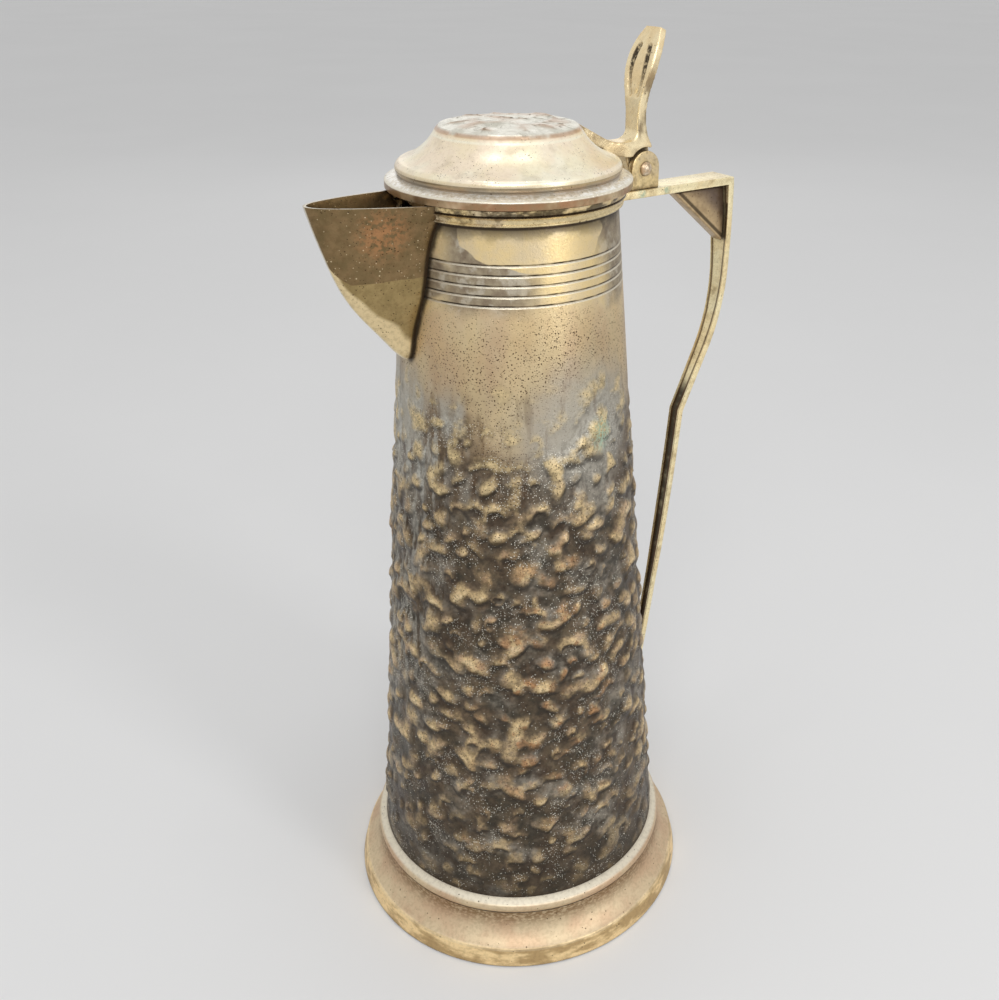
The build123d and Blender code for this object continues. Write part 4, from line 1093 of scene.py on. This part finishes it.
class JUG_OT_body(bpy.types.Operator):
    """Model the hammered, tapered body with its neck lines and the opening to the spout"""

    bl_idname = "jug.body"
    bl_label = "Body"

    def execute(self, context):
        sizes = context.scene.jug_sizes
        rows = row_heights(sizes)
        select_only()
        bpy.ops.mesh.primitive_cylinder_add(
            vertices=BODY_SEGMENTS, radius=BODY_FOOT_RADIUS, depth=1,
            end_fill_type="NOTHING", location=(0, 0, 0.5),
        )
        piece = named("hammered_body")
        bpy.ops.object.transform_apply(location=True, rotation=False, scale=False)
        edit(piece, "EDGE", lambda low, high: abs(low.z - high.z) > 0.5)
        bpy.ops.mesh.subdivide_edgering(number_cuts=len(rows) - 2, interpolation="LINEAR")
        set_mode("OBJECT")

        # The rings move to their heights, then to the cone with its lines and bumps
        points = coordinates(piece)
        points[:, 2] = rows[np.rint(points[:, 2] * (len(rows) - 1)).astype(int)]
        plain = cone_radius(points[:, 2])
        points[:, :2] *= (plain / np.linalg.norm(points[:, :2], axis=1))[:, None]
        height, share, zone = body_relief(points, sizes)
        outer = plain - line_sink(points[:, 2], sizes) + zone * height
        points[:, :2] *= (outer / plain)[:, None]
        write_coordinates(piece, points)

        self.thicken(piece)
        self.cut_gate(piece, sizes)
        shade(piece, 50)
        self.store_masks(piece, sizes)
        finish = relief_finish(context.scene.jug_colours, sizes)
        complete(piece, "jug_body", "hammered_brass", finish, "body_shell")
        return {"FINISHED"}

    def thicken(self, piece):
        """Give the sheet its thickness: over the lip, down the inside and back to the foot."""
        edit(piece, "EDGE", lambda a, b: min(a.z, b.z) > BODY_TOP_Z - 0.01 * MM)
        bore, down = MOUTH_RADIUS, (BODY_LOW_Z - BODY_TOP_Z) / INSIDE_STEPS
        for number, z in enumerate([BODY_TOP_Z, *np.linspace(BODY_TOP_Z, BODY_LOW_Z, INSIDE_STEPS + 1)[1:]]):
            move = {"value": (0, 0, down if number else 0)}
            bpy.ops.mesh.extrude_edges_move(TRANSFORM_OT_translate=move)
            share = (cone_radius(z) - WALL) / bore
            bpy.ops.transform.resize(value=(share, share, 1), center_override=(0, 0, z))
            bore = cone_radius(z) - WALL
        set_mode("OBJECT")
        edit(piece, "EDGE", lambda a, b: max(a.z, b.z) < BODY_LOW_Z + 0.01 * MM)
        bpy.ops.mesh.bridge_edge_loops()
        turn_outwards()

    def cut_gate(self, piece, sizes):
        """Cut the pointed opening through the wall behind the spout."""
        half = sizes.gate_half_width
        select_only()
        bpy.ops.mesh.primitive_cylinder_add(vertices=4, radius=half, depth=2 * half)
        cutter = named("gate_cutter")
        outline = [
            (BODY_TOP_Z - sizes.gate_depth, 0), (BODY_TOP_Z, half),
            (BODY_TOP_Z + 5 * MM, 0), (BODY_TOP_Z, -half),
        ]
        for number, vertex in enumerate(cutter.data.vertices):
            z, y = outline[number // 2]
            vertex.co = (-BODY_FOOT_RADIUS if number % 2 else 0, y, z)
        select_only(cutter)
        set_mode("EDIT")
        turn_outwards()
        apply_modifier(piece, "BOOLEAN", operation="DIFFERENCE", object=cutter, solver="EXACT")
        bpy.data.objects.remove(cutter)

    def store_masks(self, piece, sizes):
        """Keep what the finish reads: knobs, where they set in, their undersides for painted shade, the
        seam.
        """
        points = coordinates(piece)
        height, share, zone = body_relief(points, sizes)
        above, below = (
            body_relief(points + (0, 0, step), sizes)[0] for step in (UNDERSIDE_STEP, -UNDERSIDE_STEP)
        )
        outside = np.linalg.norm(points[:, :2], axis=1) > cone_radius(points[:, 2]) - 0.9 * WALL
        store(piece, "relief", share * outside)
        store(piece, "zone", zone * outside)
        store(piece, "underside", np.clip((above - below) / UNDERSIDE_FALL, 0, 1) * zone * outside)
        store(piece, "seam", distance_to("spout", points))


class JUG_OT_spout(bpy.types.Operator):
    """Finish the folded sheet spout"""

    bl_idname = "jug.spout"
    bl_label = "Spout"

    def execute(self, context):
        finish = spout_finish(context.scene.jug_colours)
        softened("spout", "folded_spout", "jug_body", "hammered_brass", finish, 0.22 * MM, 2, 40, 40)
        return {"FINISHED"}


class JUG_OT_foot(bpy.types.Operator):
    """Model the spun foot and its bead, and finish the base plate"""

    bl_idname = "jug.foot"
    bl_label = "Foot"

    def execute(self, context):
        colours, edge = context.scene.jug_colours, context.scene.jug_sizes.spun_edge
        cream = foot_finish(colours)
        for node, name in (("foot_ring", "spun_foot"), ("foot_bead", "foot_moulding")):
            softened(node, name, "jug_body", "spun_brass", cream, edge)
        refinish("base_plate", aged_finish(
            "base_dull", colours.tarnish, colours.olive, colours.stain, colours,
            patch=20 * MM, pits=0.2, roughness=0.42,
        ))
        return {"FINISHED"}


class JUG_OT_collar(bpy.types.Operator):
    """Soften and finish the two bands round the mouth"""

    bl_idname = "jug.collar"
    bl_label = "Collar"

    def execute(self, context):
        gold, edge = collar_finish(context.scene.jug_colours), context.scene.jug_sizes.spun_edge
        for node, name in (("collar_lower", "lower_collar"), ("collar_upper", "upper_collar")):
            softened(node, name, "jug_body", "spun_brass", gold, 0.4 * edge, 2)
        return {"FINISHED"}


class JUG_OT_lid(bpy.types.Operator):
    """Model the domed lid with its hammered crown, its rim and its flange"""

    bl_idname = "jug.lid"
    bl_label = "Lid"

    def execute(self, context):
        colours, sizes = context.scene.jug_colours, context.scene.jug_sizes
        dome = copied("lid_dome", "domed_lid")
        self.dent_crown(dome, sizes)
        shade(dome)
        complete(dome, "lid", "hammered_brass", dome_finish(colours), "lid_dome")
        softened("lid_rim", "lid_border", "lid", "spun_brass", rim_finish(colours), sizes.spun_edge)
        refinish("lid_flange", aged_finish(
            "flange_dull", colours.tarnish, colours.satin, colours.olive, colours, pits=0.2, roughness=0.4,
        ))
        return {"FINISHED"}

    def dent_crown(self, dome, sizes):
        """Divide the top of the lid finely and hammer it into soft folds."""
        edit(dome, "FACE", lambda f: f.normal.z > 0.9 and f.center.z > DOME_TOP_Z - 1.6 * MM)
        bpy.ops.mesh.subdivide(number_cuts=4, smoothness=0)
        set_mode("OBJECT")
        points = coordinates(dome)
        radius = np.linalg.norm(points[:, :2], axis=1)
        plain_z = DOME_TOP_Z - CROWN_FALL * (radius / CROWN_RADIUS) ** 2
        top = np.abs(points[:, 2] - plain_z) < 0.3 * MM
        bend = [noise_at(points, CROWN_BEND_SIZE, (shift, 2.7, 5.3)) for shift in (6.1, 12.9, 0.0)]
        bent = points + CROWN_BEND * np.stack(bend, 1)
        folds = 1 - FOLD_SHARPNESS * np.abs(noise_at(bent, FOLD_SIZE, (4.4, 7.1, 3.6)))
        dents = noise_at(bent, DENT_SIZE, (9.2, 1.5, 6.8))
        share = np.clip(FOLD_SHARE * folds + DENT_SHARE * dents, -1, 1)
        fade = top * smooth_step(-radius, -CROWN_RADIUS, -CROWN_FLAT_RADIUS)
        points[:, 2] += fade * sizes.crown_dent * (share - 0.05)
        write_coordinates(dome, points)
        store(dome, "relief", 0.5 + 0.5 * share * fade)


class JUG_OT_lever(bpy.types.Operator):
    """Model the cast lever with its knuckle and thumbpiece"""

    bl_idname = "jug.lever"
    bl_label = "Thumb lever"

    def execute(self, context):
        piece = copied("thumb_lever", "cast_lever")
        apply_modifier(piece, "REMESH", mode="VOXEL", voxel_size=0.4 * MM)
        apply_modifier(piece, "SMOOTH", factor=0.5, iterations=6)
        shade(piece, 60)
        complete(piece, "lid", "cast_brass", lever_finish(context.scene.jug_colours), "thumb_lever")
        return {"FINISHED"}


class JUG_OT_handle(bpy.types.Operator):
    """Model the cast handle with its web"""

    bl_idname = "jug.handle"
    bl_label = "Handle"

    def execute(self, context):
        colours, sizes = context.scene.jug_colours, context.scene.jug_sizes
        piece = copied("handle_strap", "cast_handle")
        edit(piece, "FACE", self.is_inner)
        bpy.ops.mesh.inset(thickness=sizes.channel_border, depth=-sizes.channel_depth)
        set_mode("OBJECT")
        soften(piece, sizes.cast_edge)
        self.store_half_width(piece)
        shade(piece)
        complete(piece, "jug_body", "cast_brass", handle_finish(colours), "handle_strap")
        softened(
            "handle_gusset", "handle_web", "jug_body", "cast_brass", web_finish(colours), sizes.cast_edge
        )
        return {"FINISHED"}

    def is_inner(self, face):
        """Whether a face of the strap looks at the body, between its foot and the web."""
        return face.normal.x < -0.6 and STRAP_CLOSE_Z < face.center.z < CHANNEL_TOP_Z

    def store_half_width(self, piece):
        """Keep, at each point, half the strap's width at its height."""
        points = coordinates(piece)
        inside = {i for face in piece.data.polygons if self.is_inner(face) for i in face.vertices}
        steps = np.linspace(STRAP_CLOSE_Z, STRAP_TOP_Z, WIDTH_STEPS)
        edge = points[sorted(inside)]
        near = [edge[np.abs(edge[:, 2] - z) < WIDTH_WINDOW, 1] for z in steps]
        half = [np.abs(aside).max(initial=LEAST_HALF_WIDTH) for aside in near]
        store(piece, "half_width", np.interp(points[:, 2], steps, half))


class JUG_OT_hinge(bpy.types.Operator):
    """Model the hinge's fork and its riveted pin"""

    bl_idname = "jug.hinge"
    bl_label = "Hinge"

    def execute(self, context):
        colours, edge = context.scene.jug_colours, context.scene.jug_sizes.cast_edge
        lugs = aged_finish(
            "hinge_brass", colours.satin, colours.gold, colours.stain, colours,
            patch=6 * MM, pits=0.35, roughness=0.32, corner_shade_reach=2 * MM,
        )
        worn_pin = aged_finish(
            "pin_worn", colours.highlight_and_worn, colours.rose, colours.stain, colours,
            patch=4 * MM, pits=0.3, roughness=0.34, metallic=0.7, corner_shade_reach=1.6 * MM,
        )
        for node, name, finish in (
            ("hinge_fork", "hinge_lugs", lugs), ("hinge_pin", "riveted_pin", worn_pin),
        ):
            softened(node, name, "jug_body", "cast_brass", finish, 0.6 * edge, 3, 30)
        return {"FINISHED"}


# Stage. The camera stands where the picture was taken from, found by fitting the jug's rings.
CAMERA_PLACE = Vector((-0.1964, -0.3051, 0.3692))
CAMERA_TURN = math.radians(36.0)
CAMERA_DOWN = math.radians(26.245)
CAMERA_ROLL = math.radians(0.526)
FOCAL_LENGTH_PX = 1066.075
IMAGE_WIDTH_PX = 999
IMAGE_HEIGHT_PX = 1000
PICTURE_CENTRE_PX = (567.669, 462.114)
SENSOR_MM = 36.0

# Lamps: name, place, width and height in metres, power in watts. They aim at the jug's middle.
JUG_MIDDLE = Vector((0, 0, 0.17))
LAMPS = (
    ("key_lamp", (-0.8, -1.15, 1.35), 0.9, 0.9, 9),
    ("right_top_lamp", (0.12, -0.38, 1.9), 0.3, 0.3, 1.15),
    ("left_top_lamp", (-0.40, 0.0, 1.9), 0.3, 0.3, 1.25),
    ("strip_lamp", (0.35, -1.35, 0.75), 0.3, 1.2, 5),
    ("back_lamp", (0.82, 1.27, 0.72), 0.9, 0.5, 0.7),
)
SEEN_GREY = (0.80, 0.80, 0.80)
LIGHT_STRENGTH = 0.58
FLOOR_RADIUS = 14


class JUG_OT_stage(bpy.types.Operator):
    """Set the floor, the soft lamps, the pale surroundings and the camera"""

    bl_idname = "jug.stage"
    bl_label = "Stage"

    def execute(self, context):
        self.make_floor(context.scene.jug_colours)
        self.make_world(context.scene)
        for lamp in LAMPS:
            self.make_lamp(*lamp)
        self.make_camera(context.scene)
        context.scene.view_settings.view_transform = "Standard"
        return {"FINISHED"}

    def make_floor(self, colours):
        select_only()
        bpy.ops.mesh.primitive_circle_add(vertices=96, radius=FLOOR_RADIUS, fill_type="NGON")
        floor = named("floor")
        made = Finish("floor_pale")
        tint = blend(made.cloud(0.4, 0.5, 0.3), colours.floor, tuple(0.97 * c for c in colours.floor))
        floor.data.materials.append(made.close(tint, 0.75, 0.0))

    def make_world(self, scene):
        """Pale surroundings that are seen and mirrored, over a plainer light."""
        world = bpy.data.worlds.new("pale_studio")
        world.use_nodes = True
        scene.world = world
        tree = world.node_tree
        seen = tree.nodes["Background"]
        feed(seen.inputs["Color"], SEEN_GREY)
        seen.inputs["Strength"].default_value = 1.0
        light = put(tree, "Background", Color=(1.0, 1.0, 1.0), Strength=LIGHT_STRENGTH)
        path = put(tree, "LightPath").outputs
        rays = Value(path["Is Camera Ray"]) | path["Is Glossy Ray"] | path["Is Transmission Ray"]
        mix = put(tree, "MixShader")
        for socket, value in zip(mix.inputs, (rays, light.outputs[0], seen.outputs[0])):
            feed(socket, value)
        feed(tree.nodes["World Output"].inputs["Surface"], mix.outputs[0])

    def make_lamp(self, name, place, width, height, power):
        """A soft lamp aimed at the middle of the jug."""
        select_only()
        bpy.ops.object.light_add(type="AREA", location=place)
        lamp = named(name)
        lamp.data.shape = "RECTANGLE"
        lamp.data.size = width
        lamp.data.size_y = height
        lamp.data.energy = power
        lamp.rotation_euler = (JUG_MIDDLE - Vector(place)).to_track_quat("-Z", "Y").to_euler()

    def make_camera(self, scene):
        select_only()
        bpy.ops.object.camera_add(location=CAMERA_PLACE)
        camera = named("camera")
        level = Vector((math.sin(CAMERA_TURN), math.cos(CAMERA_TURN), 0))
        ahead = level * math.cos(CAMERA_DOWN) - Vector((0, 0, math.sin(CAMERA_DOWN)))
        right = Vector((math.cos(CAMERA_TURN), -math.sin(CAMERA_TURN), 0))
        turn = Matrix((right, right.cross(ahead), -ahead)).transposed().to_4x4()
        camera.matrix_world = Matrix.Translation(CAMERA_PLACE) @ turn @ Matrix.Rotation(CAMERA_ROLL, 4, "Z")
        camera.data.sensor_width = SENSOR_MM
        camera.data.lens = FOCAL_LENGTH_PX * SENSOR_MM / IMAGE_HEIGHT_PX
        camera.data.shift_x = (IMAGE_WIDTH_PX / 2 - PICTURE_CENTRE_PX[0]) / IMAGE_HEIGHT_PX
        camera.data.shift_y = (PICTURE_CENTRE_PX[1] - IMAGE_HEIGHT_PX / 2) / IMAGE_HEIGHT_PX
        camera.data.clip_start = 0.01
        camera.data.clip_end = 60
        scene.camera = camera


MAKERS = (
    JUG_OT_body, JUG_OT_spout, JUG_OT_foot, JUG_OT_collar, JUG_OT_lid,
    JUG_OT_lever, JUG_OT_handle, JUG_OT_hinge, JUG_OT_stage,
)


class JUG_PT_panel(bpy.types.Panel):
    """Lists the jug's sizes, colours and making steps"""

    bl_idname = "JUG_PT_panel"
    bl_label = "Brass jug"
    bl_space_type = "VIEW_3D"
    bl_region_type = "UI"
    bl_category = "Jug"

    def draw(self, context):
        for group in (context.scene.jug_sizes, context.scene.jug_colours):
            box = self.layout.box()
            for key in group.bl_rna.properties.keys():
                if key not in {"rna_type", "name"}:
                    box.prop(group, key)
        for maker in MAKERS:
            self.layout.operator(maker.bl_idname)


CLASSES = (JugSizes, JugColours, *MAKERS, JUG_PT_panel)


def register():
    for cls in CLASSES:
        bpy.utils.register_class(cls)
    bpy.types.Scene.jug_sizes = bpy.props.PointerProperty(type=JugSizes)
    bpy.types.Scene.jug_colours = bpy.props.PointerProperty(type=JugColours)


def unregister():
    del bpy.types.Scene.jug_sizes
    del bpy.types.Scene.jug_colours
    for cls in reversed(CLASSES):
        bpy.utils.unregister_class(cls)


def main():
    """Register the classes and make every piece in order."""
    register()
    make_cloud_group()
    make_dots_group()
    make_occlusion_shade_group()
    for maker in MAKERS:
        getattr(bpy.ops.jug, maker.bl_idname.split(".")[1])()


if __name__ == "__main__":
    main()
